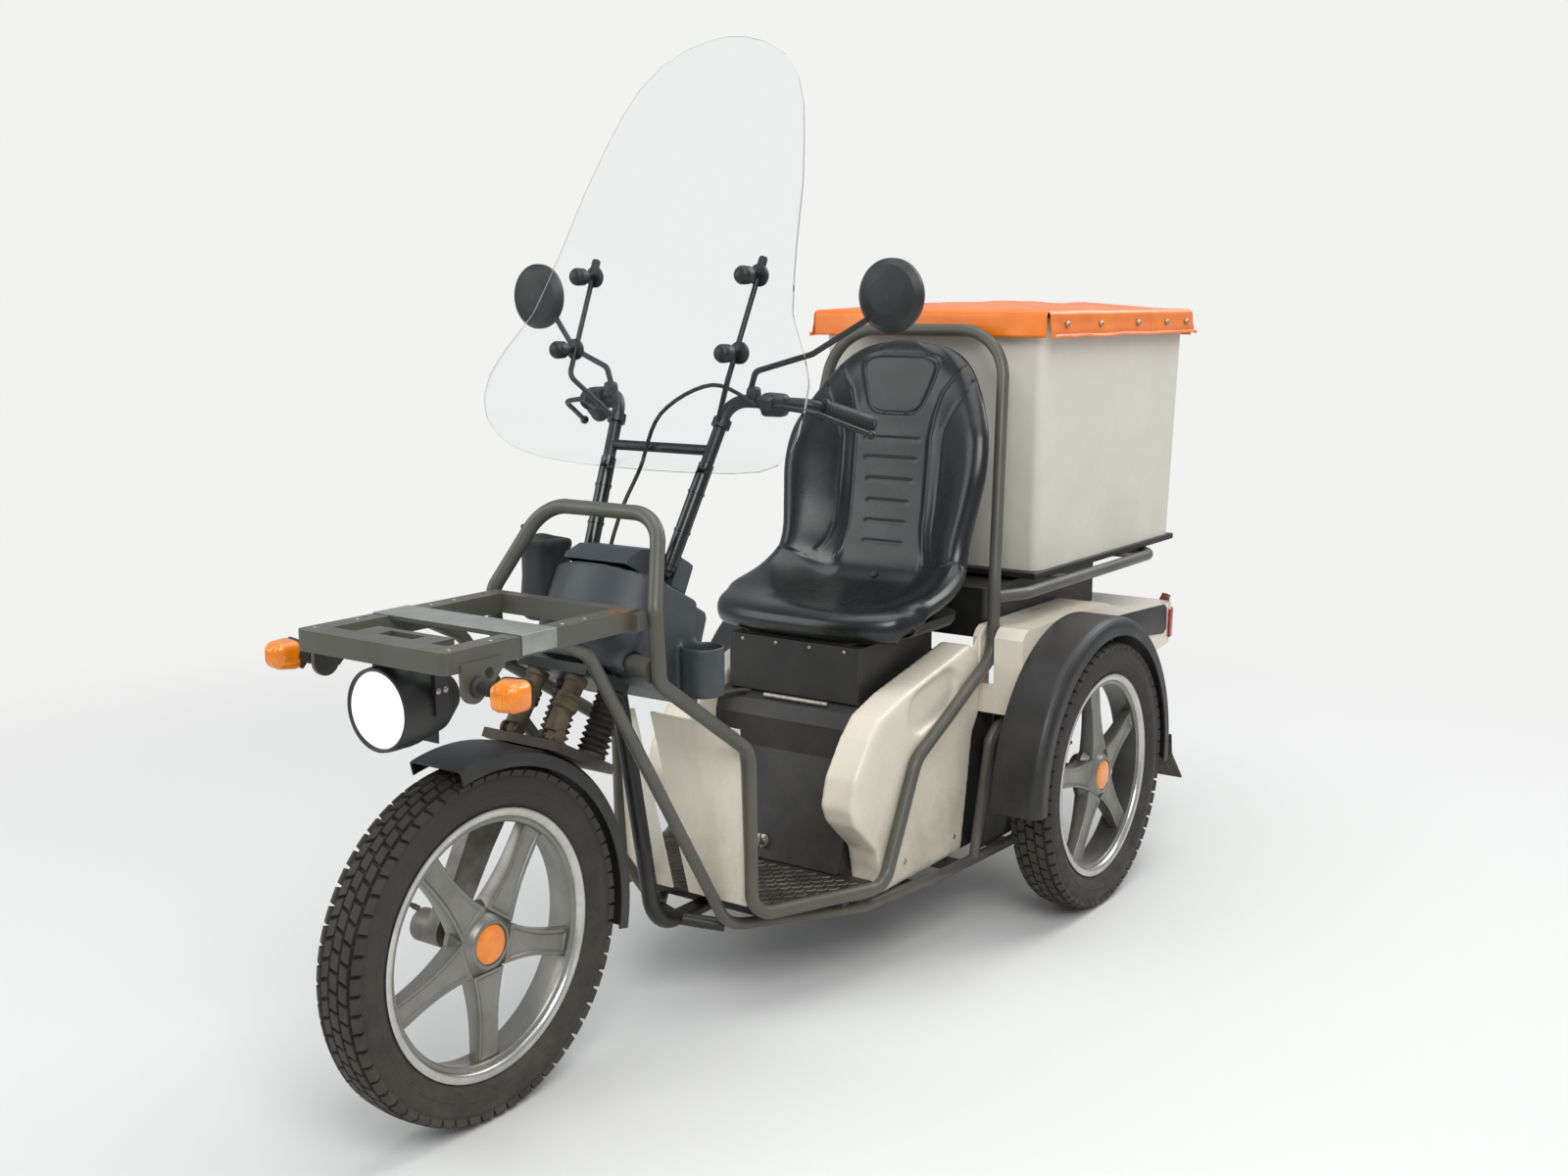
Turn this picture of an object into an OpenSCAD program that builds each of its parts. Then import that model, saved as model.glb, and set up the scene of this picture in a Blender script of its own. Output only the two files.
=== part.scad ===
// Electric delivery tricycle in millimetres: +X is forward, +Y is left, +Z is up.
// Heights are drawn over the ground for axles at axle_up() and ride on the real tyre radius.

/* [Wheels] */
// distance from the rear axle to the front axle
wheelbase = 1410; // [1390:5:1460]
// distance between the middle planes of the rear wheels
track = 782; // [782:2:830]
// outer radius of every tyre
tyre_r = 284; // [272:1:288]
// width of every tyre
tyre_w = 92; // [80:1:96]
// height of the tyre over the rim flanges
tyre_wall = 69; // [64:1:80]
// number of cast spokes in every rim
spokes = 5; // [4:1:6]

/* [Frame] */
// diameter of the hoops and the side tubes
tube_d = 25; // [22:1:30]
// diameter of the lower rails and of the rear loop
rail_d = 22; // [19:1:26]
// half the distance between the legs of the seat hoop
hoop_y = 255; // [252:1:265]
// height of the middle of the seat hoop's top bar
hoop_top_z = 1209; // [1200:1:1300]
// the hoop leans back and in towards its top
hoop_top_x = 72; // [68:1:76]
hoop_top_y = 205; // [200:1:210]

/* [Front rack] */
// half the outer width of the front rack
rack_y = 156; // [150:1:158]
// reach of the front rack ahead of the front axle
rack_front = 193; // [180:1:230]
// height of the rack's top face
rack_z = 794; // [790:1:800]
// depth of the rack rails
rack_deep = 32; // [26:1:34]

/* [Cargo box] */
// half the width of the box at its top
box_y = 275; // [255:1:285]
// length of the box at its top
box_len = 748; // [640:1:800]
// height of the box's top edge
box_top = 1235; // [1150:1:1300]
// thickness of the box walls
box_wall = 5; // [4:0.5:8]

/* [Seat and screen] */
// half the width of the seat
seat_y = 242; // [225:1:246]
// height of the top of the seat back
seat_top = 1188; // [1150:1:1240]
// height of the top of the windscreen
screen_top = 1722; // [1650:1:1800]
// thickness of the windscreen
screen_t = 4; // [3:0.5:6]

/* [Hidden] */
$fn = 48;
rim_r = tyre_r - tyre_wall;
ax = wheelbase;
fit = 0.3;
step = 0.15;
clear = 5;
big = 4000;
tube_r = tube_d / 2;
rail_r = rail_d / 2;
lid_wall = 8;
lid_front = 42;
lid_rear = lid_front + 10 - box_len - 48;
lid_y = box_y + 2 + clear + lid_wall + 4;
box_mid = lid_front - 22 - box_len / 2;
cover_z = box_top + clear + 1;
cover_low = box_top - 50;
origin_x = (ax + tyre_r + lid_rear) / 2;
hub_y = track / 2;
rear_roll = 28;
axle_r = 12;
bore_r = axle_r + 0.5;
steer_rake = 27.8;
axis_back = 397;
axis_up = 583;
stem_r = 21.5;
hub_d = axis_back * cos(steer_rake) - axis_up * sin(steer_rake);
hub_s = -axis_back * sin(steer_rake) - axis_up * cos(steer_rake);
cap_s = -66;
cowl_s = cap_s - clear - 1;
head_low = -240;
crown_top = head_low - clear;
crown_low = crown_top - 17;
steer_most = 40;
crown_back = 44 * [-cos(steer_most), sin(steer_most)];
fender_front_r = tyre_r + 25;
bridge_low = hub_s + fender_front_r + fit;
bridge_top = bridge_low + 16;
leg_in = -tyre_w / 2 - 16;
leg_out = leg_in - 26;
fender_rear_r = tyre_r + 53;
fender_in = hub_y - 56;
fender_out = hub_y + 48;
body_y = fender_in - fit;
rack_low = rack_z - rack_deep;
signal_x = ax + 140;
signal_z = 738;
tray_z = 690;
box_floor = tray_z + 14;
loop_z = tray_z - 2 - tube_r;
bar_r = 11;
sub_z = 415;
floor_z = 192;
low_z = 150;
body_front = 215;
body_low = 440;
cover_y = 170;

cream = [0.88, 0.86, 0.79];
olive = [0.55, 0.54, 0.47];
black = [0.08, 0.08, 0.08];
slate = [0.22, 0.24, 0.27];
silver = [0.62, 0.62, 0.6];
orange = [0.92, 0.42, 0.05];
clear_sheet = [0.8, 0.88, 0.9, 0.35];

// helpers

function unit(v) = v / norm(v);
function turn(a, b, c) = acos(max(-1, min(1, unit(b - a) * unit(c - b))));
function side(p) = [p[0], -p[1], p[2]];
function flip(list) = [for (i = [len(list) - 1:-1:0]) side(list[i])];
function ease(a, b, c, d, t) = 0.5 * (2 * b + (c - a) * t
    + (2 * a - 5 * b + 4 * c - d) * t * t + (3 * b - a - 3 * c + d) * t * t * t);
function curve(p, n) = [for (i = [0:len(p) - 2], k = [0:n - 1])
    ease(p[max(0, i - 1)], p[i], p[i + 1], p[min(len(p) - 1, i + 2)], k / n), p[len(p) - 1]];

// height of the axles in the drawing, which at_frame() lifts to the tyre radius
function axle_up() = 284;

module at_frame() {
    translate([-origin_x, 0, tyre_r - axle_up()]) children();
}

module both() {
    children();
    mirror([0, 1, 0]) children();
}

// local x runs forward and up, local z up along the steering axis
module on_axis() {
    translate([ax - axis_back, 0, axle_up() + axis_up]) rotate([0, -steer_rake, 0]) children();
}

module round_all(hx, hy, r) {
    square([2 * hx, 2 * hy - 2 * r], center = true);
    square([2 * hx - 2 * r, 2 * hy], center = true);
    for (x = [-1, 1], y = [-1, 1]) translate([x * (hx - r), y * (hy - r)]) circle(r, $fn = 32);
}

module rod(a, b, d) {
    v = b - a;
    translate(a) rotate([0, acos(v[2] / norm(v)), atan2(v[1], v[0])]) cylinder(d = d, h = norm(v));
}

module elbow(a, b, c, r, d) {
    u = unit(b - a);
    w = turn(a, b, c);
    n = unit(cross(u, unit(c - b)));
    m = cross(n, u);
    o = b - u * r * tan(w / 2) + m * r;
    multmatrix([[-m[0], u[0], n[0], o[0]], [-m[1], u[1], n[1], o[1]], [-m[2], u[2], n[2], o[2]],
        [0, 0, 0, 1]])
        rotate_extrude(angle = w) translate([r, 0]) circle(d = d + 2 * step);
}

// a round tube through the points p, bent to the radii r at the inner ones:
// the straights reach a little way into the bends, which are wider by a hair
module bent_tube(p, r, d) {
    last = len(p) - 1;
    trim = [for (i = [0:last]) i == 0 || i == last ? 0
        : r[i - 1] * tan(turn(p[i - 1], p[i], p[i + 1]) / 2) - 1.2];
    for (i = [0:last - 1]) {
        u = unit(p[i + 1] - p[i]);
        rod(p[i] + u * trim[i], p[i + 1] - u * trim[i + 1], d);
    }
    for (i = [1:1:last - 1]) elbow(p[i - 1], p[i], p[i + 1], r[i - 1], d);
}

// a side view outline given in x and z, carried across from y0 to y1
module across(y0, y1) {
    translate([0, y1, 0]) rotate([90, 0, 0]) linear_extrude(y1 - y0) children();
}

module block(x0, x1, y0, y1, z0, z1) {
    translate([x0, y0, z0]) cube([x1 - x0, y1 - y0, z1 - z0]);
}

module round_rect(x0, x1, hy, r) {
    polygon([[x0, -hy], [x1 - r, -hy], [x1 - r, hy], [x0, hy]]);
    translate([x1 - r - 1, -hy + r]) square([r + 1, 2 * hy - 2 * r]);
    for (s = [-1, 1]) translate([x1 - r, s * (hy - r)]) circle(r);
}

// frame tubes

hoop_points = [[ax - 241, rack_y + 20, 700], [ax - 234, rack_y + 20, 790], [ax - 310, 124, 930]];
belly_points = [[ax - 241, rack_y + 20, 700], [ax - 242, rack_y + 20, 672], [ax - 518, 150, 495],
    [ax - 525, 150, 190], [650, hoop_y - 3, 190], [605, hoop_y, 190], [495, hoop_y, 405],
    [190, hoop_y, 555], [190, hoop_y, 640]];
belly_bends = [30, 50, 45, 60, 45, 60, 60];
stay_points = [[ax - 20, 143, 785], [ax - 120, 137, 735], [ax - 545, 80, low_z], [640, 230, low_z],
    [408, 264, low_z], [120, 278, low_z]];

// half the distance between the lower rails at a place along the floor
function rail_y(x) = lookup(x, [for (i = [5:-1:3]) [stay_points[i][0], stay_points[i][1]]]);

module hoop_tube(grow = 0) {
    bent_tube(concat(hoop_points, flip(hoop_points)), [40, 70, 70, 40], tube_d + grow);
}

module side_tube(grow = 0) {
    bent_tube(belly_points, belly_bends, tube_d + grow);
}

module stay_tube(grow = 0) {
    difference() {
        bent_tube(stay_points, [50, 60, 90, 90], rail_d + grow);
        block(ax - 200, ax + 100, 0, 300, rack_low - fit, 900);
    }
}

module front_hoop() {
    color(olive) at_frame() hoop_tube();
}

module side_tubes() {
    color(olive) at_frame() both() side_tube();
}

module rear_hoop_tube(grow = 0) {
    p = [[190, hoop_y, 640], [190, hoop_y, 700], [hoop_top_x, hoop_top_y, hoop_top_z]];
    bent_tube(concat(p, flip(p)), [150, 110, 110, 150], tube_d + grow);
}

module rear_hoop() {
    color(olive) at_frame() rear_hoop_tube();
}

module lower_rails() {
    color(olive) at_frame() both() stay_tube();
}

module subframe_tube(grow = 0) {
    p = [[285, 271, low_z + 1], [233, 275, 389], [200, 276, sub_z], [-330, 278, sub_z]];
    bent_tube(concat(p, flip(p)), [40, 40, 70, 70, 40, 40], rail_d - 1 + grow);
}

module rear_subframe() {
    color(olive) at_frame() difference() {
        union() {
            subframe_tube();
            // brackets that carry the body's side walls
            both() for (x = [-200, 60]) {
                block(x - 15, x + 15, 272, 282, sub_z, body_low + 14);
                block(x - 15, x + 15, 272, body_y - 5 - fit, body_low + 8, body_low + 14);
            }
        }
        both() stay_tube(2 * fit);
    }
}

module rear_rack() {
    p = [[190, hoop_y, loop_z], [108, 287, loop_z], [-590, 287, loop_z]];
    color(olive) at_frame() difference() {
        union() {
            bent_tube(concat(p, flip(p)), [60, 80, 80, 60], tube_d);
            for (x = [-60, -420]) block(x - 20, x + 20, -287, 287, tray_z - 5, tray_z);
        }
        rear_hoop_tube(2 * fit);
    }
}

module front_rack() {
    rail_w = 36;
    bar_w = 40;
    plate_low = rack_low + 20;
    color(olive) at_frame() difference() {
        union() {
            translate([0, 0, rack_low]) linear_extrude(rack_deep) difference() {
                round_rect(ax - 220, ax + rack_front, rack_y, 12);
                round_rect(ax - 220 + 25, ax + rack_front - bar_w, rack_y - rail_w, 6);
            }
            block(ax - 30, ax + 43, -rack_y + 5, rack_y - 5, rack_z - 6, rack_z);
            difference() {
                block(ax + 101, ax + rack_front - bar_w + 1, -80, 80, plate_low, rack_z - 2);
                block(ax + 115, ax + 141, -36, 36, rack_low, rack_z);
            }
            both() {
                block(ax - 220, ax - 198, rack_y - 10, rack_y + 14, rack_low, rack_z - 4);
                difference() {
                    across(rack_y - 4, rack_y + 3) {
                        polygon([[ax + 80, rack_low + 12], [ax + 80, rack_low - 2], [ax + 117, signal_z - 12],
                            [ax + 163, signal_z], [ax + 165, rack_low + 12]]);
                        translate([signal_x, signal_z]) circle(24);
                    }
                    translate([ax + 112, rack_y - 10, rack_low - 9]) rotate([-90, 0, 0])
                        cylinder(r = 9, h = 30);
                }
            }
        }
        hoop_tube(2 * fit);
        for (x = [-180, 70], s = [-1, 1])
            translate([ax + x, s * (rack_y - 11), rack_low - 1]) cylinder(r = 4, h = rack_deep + 2);
    }
}

brace_points = [[ax - 304, 0, 690], [ax - 232, 190, 690]];

module head_tube() {
    color(olive) at_frame() difference() {
        union() {
            on_axis() translate([0, 0, head_low]) cylinder(r = 30, h = 148);
            difference() {
                both() rod(brace_points[0], brace_points[1], 36);
                both() block(ax - 300, ax - 100, rack_y + 19 - tube_r - fit, 300, 600, 800);
            }
        }
        on_axis() translate([0, 0, head_low - 1]) cylinder(r = stem_r + 0.5, h = 150);
    }
}

down_points = [[ax - 325, 0, 722], [ax - 405, 0, 325], [ax - 435, 0, 164], [ax - 612, 0, 164]];

module cross_members() {
    z0 = low_z + rail_r + fit;
    color(black) at_frame() {
        difference() {
            union() {
                bent_tube(down_points, [120, 70], 30);
                both() rod([ax - 500, 0, 162], [ax - 545, 74, low_z], 24);
                for (x = [500, 340, 160]) block(x - 15, x + 15, -rail_y(x), rail_y(x), low_z - 9, low_z + 9);
            }
            both() stay_tube(2 * fit);
            both() rod(brace_points[0], brace_points[1], 36 + 2 * fit);
            on_axis() translate([0, 0, head_low]) cylinder(r = 30 + fit, h = 148);
        }
        block(ax - 620, ax - 590, -128, 128, z0, floor_z);
        block(665, 695, -218, 218, z0, floor_z);
        for (x = [500, 340]) block(x - 15, x + 15, -cover_y, cover_y, low_z + 9, 197 - fit);
    }
}

// floor and panels

module floor_plate() {
    edge = tube_r + 3;
    color(silver) at_frame() translate([0, 0, floor_z]) linear_extrude(4)
        polygon([[ax - 550, 158 - edge], [650, hoop_y - 3 - edge], [622, hoop_y - 3 - edge],
            [622, -hoop_y + 3 + edge], [650, -hoop_y + 3 + edge], [ax - 550, -158 + edge]]);
}

// a thin plate with straight edges between four corners that don't lie in one plane
module twisted_plate(a, b, c, d, t, n) {
    row = n + 1;
    function at(i, k) = (a * (n - i) / n + b * i / n) * (n - k) / n + (d * (n - i) / n + c * i / n) * k / n;
    front = [for (k = [0:n], i = [0:n]) at(i, k)];
    back = [for (p = front) p - [t, 0, 0]];
    m = row * row;
    rim = concat([for (i = [0:n - 1]) i], [for (k = [0:n - 1]) k * row + n],
        [for (i = [n:-1:1]) n * row + i], [for (k = [n:-1:1]) k * row]);
    r = len(rim);
    polyhedron(concat(front, back), concat(
        [for (k = [0:n - 1], i = [0:n - 1]) [k * row + i, k * row + i + 1, (k + 1) * row + i + 1]],
        [for (k = [0:n - 1], i = [0:n - 1]) [k * row + i, (k + 1) * row + i + 1, (k + 1) * row + i]],
        [for (k = [0:n - 1], i = [0:n - 1])
            [m + k * row + i, m + (k + 1) * row + i + 1, m + k * row + i + 1]],
        [for (k = [0:n - 1], i = [0:n - 1])
            [m + k * row + i, m + (k + 1) * row + i, m + (k + 1) * row + i + 1]],
        [for (q = [0:r - 1]) [rim[q], m + rim[q], rim[(q + 1) % r]]],
        [for (q = [0:r - 1]) [rim[(q + 1) % r], m + rim[q], m + rim[(q + 1) % r]]]));
}

// each shield stands square across at its foot and sweeps forward to the middle as it rises
module leg_shields() {
    color(cream) at_frame() both() difference() {
        twisted_plate([ax - 510, 19, 212], [ax - 526, 137.2, 205], [ax - 504, 137.2, 534],
            [ax - 407, 19, 570], 5, 8);
        stay_tube(6);
        bent_tube(down_points, [120, 70], 34);
    }
}

cover_points = [[640, 197], [571, 400], [568, 460], [556, 490], [535, 505], [300, 505], [300, 197]];

module battery_cover() {
    color(black) at_frame() difference() {
        across(-cover_y, cover_y) polygon(cover_points);
        across(-cover_y + 4, cover_y - 4) polygon([[634, 190], [566, 399], [563, 459], [552, 486], [534, 500],
            [290, 500], [290, 190]]);
    }
}

module battery_pack() {
    color(black) at_frame() block(325, 545, -cover_y + 8, cover_y - 8, 197, 470);
}

module side_panels() {
    low = low_z + rail_r + fit;
    color(cream) at_frame() both() difference() {
        across(cover_y + 2, hoop_y - tube_r - fit) polygon([[590, low], [612, 250], [688, 318],
            [704, 352], [690, 404], [640, 470], [600, 505], [520, 532], [319, 575], [262, 588],
            [body_front + 12, 566], [body_front + 3, 530], [body_front + 3, body_low], [244, 400],
            [283, low]]);
        translate([405, hoop_y - tube_r - 12, 498]) rotate([0, 12, 0]) across(0, 30) {
            for (x = [-50, 50]) translate([x, 0]) circle(44);
            translate([-50, -44]) square([100, 88]);
        }
    }
}

roof_points = [[body_front, 596], [203, 610], [190, 616], [-180, 616], [-240, 600], [-300, 576], [-590, 560]];
function lowered(list, d) = [for (p = list) [p[0], p[1] - d]];

module tail_plan(grow) {
    mirror([1, 0]) round_rect(-body_front, 607 + grow, body_y + grow, 60);
}

module rear_body() {
    n = len(roof_points) - 1;
    color(cream) at_frame() difference() {
        intersection() {
            translate([0, 0, 300]) linear_extrude(500) tail_plan(0);
            across(-body_y - 1, body_y + 1) polygon(concat(roof_points, [[-607, 552], [-607, 470],
                [-330, body_low], [body_front, body_low]]));
        }
        across(-body_y + 5, body_y - 5) polygon(concat([[body_front - 5, 590], [190, 610]],
            lowered([for (i = [3:n]) roof_points[i]], 6), [[-600, 546], [-600, 400],
            [body_front - 5, 400]]));
        block(-400, 300, -222, 222, 400, 800);
        both() block(190 - tube_r - clear, 300, hoop_y - tube_r - 3, hoop_y + tube_r + 3, 500, 720);
    }
}

module rear_fenders() {
    w = fender_out - fender_in;
    color(black) at_frame() both() translate([0, fender_out, axle_up()]) rotate([90, 0, 0])
        rotate([0, 0, -2]) rotate_extrude(angle = 189)
        polygon(concat([[tyre_r + 14, 0]], arc(fender_rear_r - 22, 22, 22), [[fender_rear_r, w],
            [fender_rear_r - 4, w]], turned_back(arc(fender_rear_r - 22, 22, 18)),
            [[tyre_r + 14, 4]]));
    color(black) at_frame() splash_plates();
}

// a plate behind the bend of the rear subframe closes the side below the body
module splash_plates() {
    low = low_z + rail_r + fit;
    top = body_low - fit;
    difference() {
        both() across(262, 266) polygon([[284, low], [234, 389], [200, sub_z], [200, top], [100, top],
            [100, low]]);
        subframe_tube(2 * fit);
    }
}

// a quarter round of radius r about [x, y] in a fender's section
function arc(x, y, r) = [for (a = [0:15:90]) [x + r * sin(a), y - r * cos(a)]];
function turned_back(list) = [for (i = [len(list) - 1:-1:0]) list[i]];

module mud_flaps() {
    color(black) at_frame() both() across(fender_in + 8, fender_out - 2)
        polygon([[-fender_rear_r - fit, 300], [-fender_rear_r - 5, 300], [-fender_rear_r - 12, 255],
            [-417, 183], [-412, 180], [-fender_rear_r - 6, 252]]);
}

module tail_lamps() {
    color([0.7, 0.05, 0.05]) at_frame() both() difference() {
        translate([0, 0, 478]) linear_extrude(68) difference() {
            tail_plan(6);
            tail_plan(fit);
        }
        block(-548, 300, -900, 900, 400, 600);
        block(-700, 300, -900, 215, 400, 600);
    }
}

// seat, housings and cargo box

module seat_base() {
    color(black) at_frame() {
        block(262, 543, -153, 153, 505.3, 616);
        both() block(270, 520, 95, 125, 615, 622);
    }
}

module seat() {
    y = seat_y;
    color(black) at_frame() {
        across(-y + 40, y - 40) polygon([[186, 622], [535, 622], [545, 640], [538, 662], [500, 672],
            [250, 692], [224, 716], [208, 770], [190, 900], [172, seat_top - 148], [152, seat_top - 58],
            [140, seat_top - 8], [128, seat_top], [114, seat_top - 12], [112, seat_top - 68], [126, 1000],
            [142, 850], [166, 710], [172, 640]]);
        both() across(y - 41, y) polygon([[215, 640], [500, 640], [520, 660], [500, 690], [345, 716],
            [268, 762], [240, 900], [218, 1010], [190, seat_top - 98], [150, seat_top - 50],
            [128, seat_top - 68], [140, 1000], [162, 900], [188, 800], [210, 700]]);
    }
}

module electronics_box() {
    color(black) at_frame() block(-381, 160, -215, 215, 580, tray_z - 5 - fit);
}

module box_tray() {
    color(black) at_frame() block(lid_front - 6 - box_len - 16, lid_front - 8, -box_y + 6, box_y - 6,
        tray_z, box_floor);
}

// the box walls lean out as they rise, and their upright corners are round
module box_solid(inset, low, top) {
    lean = 13 * (top - low) / (box_top - box_floor);
    hx = box_len / 2 - inset;
    hy = box_y - inset;
    r = 24 - inset;
    translate([box_mid, 0, low])
        linear_extrude(top - low, scale = [hx / (hx - lean), hy / (hy - lean)])
        round_all(hx - lean, hy - lean, r);
}

module cargo_box() {
    color(cream) at_frame() difference() {
        box_solid(0, box_floor, box_top);
        box_solid(box_wall, box_floor + box_wall, box_top + 1);
    }
}

// the front edge of the cover stays on the box, and the rest folds up from it
module cover_band() {
    x = box_mid + box_len / 2 + fit;
    color(orange) at_frame() across(-box_y - 2, box_y + 2) polygon([[x, cover_low], [x + 16, cover_low],
        [lid_front, cover_low + 5], [lid_front, cover_z - clear - 8], [lid_front - 6, cover_z - clear],
        [x, cover_z - clear]]);
}

// cowl, steering cover and lamps

module cowl_shape() {
    low = head_low + clear + fit;
    intersection() {
        on_axis() translate([0, 0, low]) linear_extrude(cowl_s - low) intersection() {
            translate([-55, 0]) circle(150, $fn = 64);
            translate([-200, -112]) square([400, 224]);
        }
        across(-112, 112) polygon([[ax - 425, 500], [ax - 425, 900], [ax - 100, 900], [ax - 100, 500]]);
    }
}

module cowl() {
    color(slate) at_frame() difference() {
        union() {
            cowl_shape();
            translate([ax - 393, 146, 620]) cylinder(r = 37, h = 86);
        }
        translate([ax - 393, 146, 624]) cylinder(r = 33, h = 120);
        on_axis() translate([0, 0, -300]) cylinder(r = 30 + fit, h = 400);
        both() rod(brace_points[0], brace_points[1], 36 + 2 * fit);
        bent_tube(down_points, [120, 70], 30 + 2 * fit);
    }
}

module glovebox() {
    x = ax - 425 - fit;
    color(slate) at_frame() across(-104, 104) polygon([[x, 640], [x - 16, 648], [x - 24, 700],
        [x - 37, 734], [x - 34, 746], [x, 764]]);
}

module side_bag() {
    color(black) at_frame() {
        block(ax - 385, ax - 305, -200, -112 - fit, 722, 872);
        translate([ax - 343, -205, 760]) cylinder(r = 6, h = 126);
    }
}

module lamp_round(list) {
    translate([0, 0, 690]) rotate([0, 90, 0]) rotate_extrude() polygon(list);
}

module head_lamp() {
    color(black) at_frame() {
        lamp_round([[0, ax + 46], [30, ax + 46], [52, ax + 80], [62, ax + 130], [62, ax + 172],
            [0, ax + 172]]);
        both() {
            block(ax + 103, ax + 128, 58, 66, 680, rack_low + 20 - fit);
        }
        across(-14, 14) polygon([[ax + 74, 690], [ax + 80, 690], [ax + 82, 622], [ax + 76, 620]]);
    }
}

module head_lamp_lens() {
    color([0.9, 0.9, 0.92]) at_frame() lamp_round([[0, ax + 172 + fit], [58, ax + 172 + fit],
        [58, ax + 178], [48, ax + 186], [30, ax + 191], [0, ax + 193]]);
}

module indicators() {
    color(orange) at_frame() both() translate([signal_x, rack_y + 3 + fit, signal_z]) {
        rotate([-90, 0, 0]) rotate_extrude() polygon([[0, 0], [16, 0], [16, 6], [8, 8], [8, 60], [0, 60]]);
        translate([0, 0, -25]) linear_extrude(50) polygon([[-24, 52], [26, 48], [35, 56], [36, 86], [28, 97],
            [-10, 104], [-24, 94]]);
    }
}

// rear axle

module rear_axle() {
    color(black) at_frame() {
        rod([0, -hub_y + 91, axle_up()], [0, hub_y - 91, axle_up()], 60);
        rod([0, -hub_y - 28, axle_up()], [0, hub_y + 28, axle_up()], 2 * axle_r);
        block(-80, 120, -120, 120, 195, 375);
        both() {
            across(270, 286) polygon([[-95, 300], [-95, 318], [0, 322], [40, 300], [119, 160],
                [119, 138], [92, 140], [-10, 250], [-40, 285]]);
            translate([-66, 278, 305]) cylinder(r = 27, h = sub_z - rail_r - fit - 305);
        }
    }
}

// steering body

module fork_crown() {
    color(black) at_frame() on_axis() {
        translate([0, 0, crown_low]) cylinder(r = stem_r, h = -crown_low - 34);
        translate([0, 0, crown_low]) linear_extrude(crown_top - crown_low) polygon([[105, -74],
            [105, 74], [-8, 74], crown_back, [crown_back[0], -crown_back[1]], [-8, -74]]);
    }
}

module fork_guides() {
    low = bridge_top + fit;
    high = crown_low - fit;
    rib = (high - low) / 9;
    color(black) at_frame() on_axis() both() {
        translate([0, 46, 0]) rotate_extrude() polygon(concat([[0, low]],
            [for (i = [0:8], k = [0, 1]) [k == 0 ? 21 : 26, low + (i + 0.5 * k) * rib]],
            [[21, high], [0, high]]));
        intersection() {
            rod([103, 42, low - 10], [83, 42, high + 10], 34);
            translate([0, -200, low]) cube([300, 400, high - low]);
        }
    }
}

module fork_leg() {
    color(silver) at_frame() {
        on_axis() {
            translate([-32, leg_out, bridge_low]) cube([150, 74 - leg_out, bridge_top - bridge_low]);
            across(leg_out, leg_in) polygon([[10, bridge_top], [80, bridge_top], [104, -520],
                [hub_d + 26, hub_s], [hub_d - 26, hub_s], [40, -560]]);
        }
        rod([ax, leg_out - 34, axle_up()], [ax, leg_in, axle_up()], 54);
        rod([ax, leg_in - 2, axle_up()], [ax, 28, axle_up()], 2 * axle_r);
    }
}

module front_fender() {
    w = tyre_w / 2 + 9;
    r = fender_front_r;
    color(black) at_frame() translate([ax, 0, axle_up()]) rotate([90, 0, 0]) rotate([0, 0, 76])
        rotate_extrude(angle = 116)
        polygon([[r - 26, -w], [r - 5, -w], [r, -w + 6], [r, w - 6], [r - 5, w], [r - 26, w],
            [r - 26, w - 3], [r - 6, w - 3], [r - 4, w - 8], [r - 4, -w + 8], [r - 6, -w + 3],
            [r - 26, -w + 3]]);
}

bar_points = [[ax - 376, 88, 827], [ax - 508, 120, 1104], [ax - 561, 246, 1097],
    [ax - 660, 304, 1060]];
function on_bar(i, t) = bar_points[i] + (bar_points[i + 1] - bar_points[i]) * t;

module handlebar() {
    color(black) at_frame() difference() {
        union() {
            both() bent_tube(bar_points, [40, 40], 2 * bar_r);
            rod(side(on_bar(0, 0.7)), on_bar(0, 0.7), 18);
            on_axis() {
                rod([-3, -88, -42], [-3, 88, -42], 24);
                translate([0, 0, -62]) cylinder(r = 32, h = 30);
            }
        }
        on_axis() translate([0, 0, -80]) cylinder(r = stem_r + fit, h = 46.5);
    }
}

module hand_controls() {
    color(black) at_frame() both() difference() {
        union() {
            rod(on_bar(2, 0.2), on_bar(2, 1.03), 34);
            rod(on_bar(1, 0.42), on_bar(1, 0.72), 40);
            bent_tube([on_bar(1, 0.62), on_bar(1, 0.62) + [32, 6, -4], on_bar(2, 0.3) + [24, 34, -8],
                on_bar(2, 1) + [14, 30, -10]], [8, 14], 9);
        }
        bent_tube(bar_points, [40, 40], 2 * bar_r + 2 * fit);
    }
}

module dash_cap() {
    swing = 112 - clear;
    color(slate) at_frame() on_axis() difference() {
        intersection() {
            union() {
                across(-68, 68) polygon([[-30, cap_s], [-30, -16], [14, -14], [56, -30], [82, -56],
                    [85, cap_s]]);
                across(-92, 92) polygon([[-96, cap_s], [-96, -34], [-84, -20], [-44, -14], [-16, -14],
                    [-16, cap_s]]);
            }
            translate([0, 0, -200]) cylinder(r = swing, h = 300);
        }
        across(-64, 64) polygon([[-72, cap_s - 1], [-72, -24], [-28, -20], [14, -19], [53, -34], [78, -58],
            [80, cap_s - 1]]);
        translate([-3 - 12 - fit, -100, cap_s - 1]) cube([24 + 2 * fit, 200, -42 - cap_s + 1]);
        rod([-3, -100, -42], [-3, 100, -42], 24 + 2 * fit);
    }
}

mirror_x = ax - 580;

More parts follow.
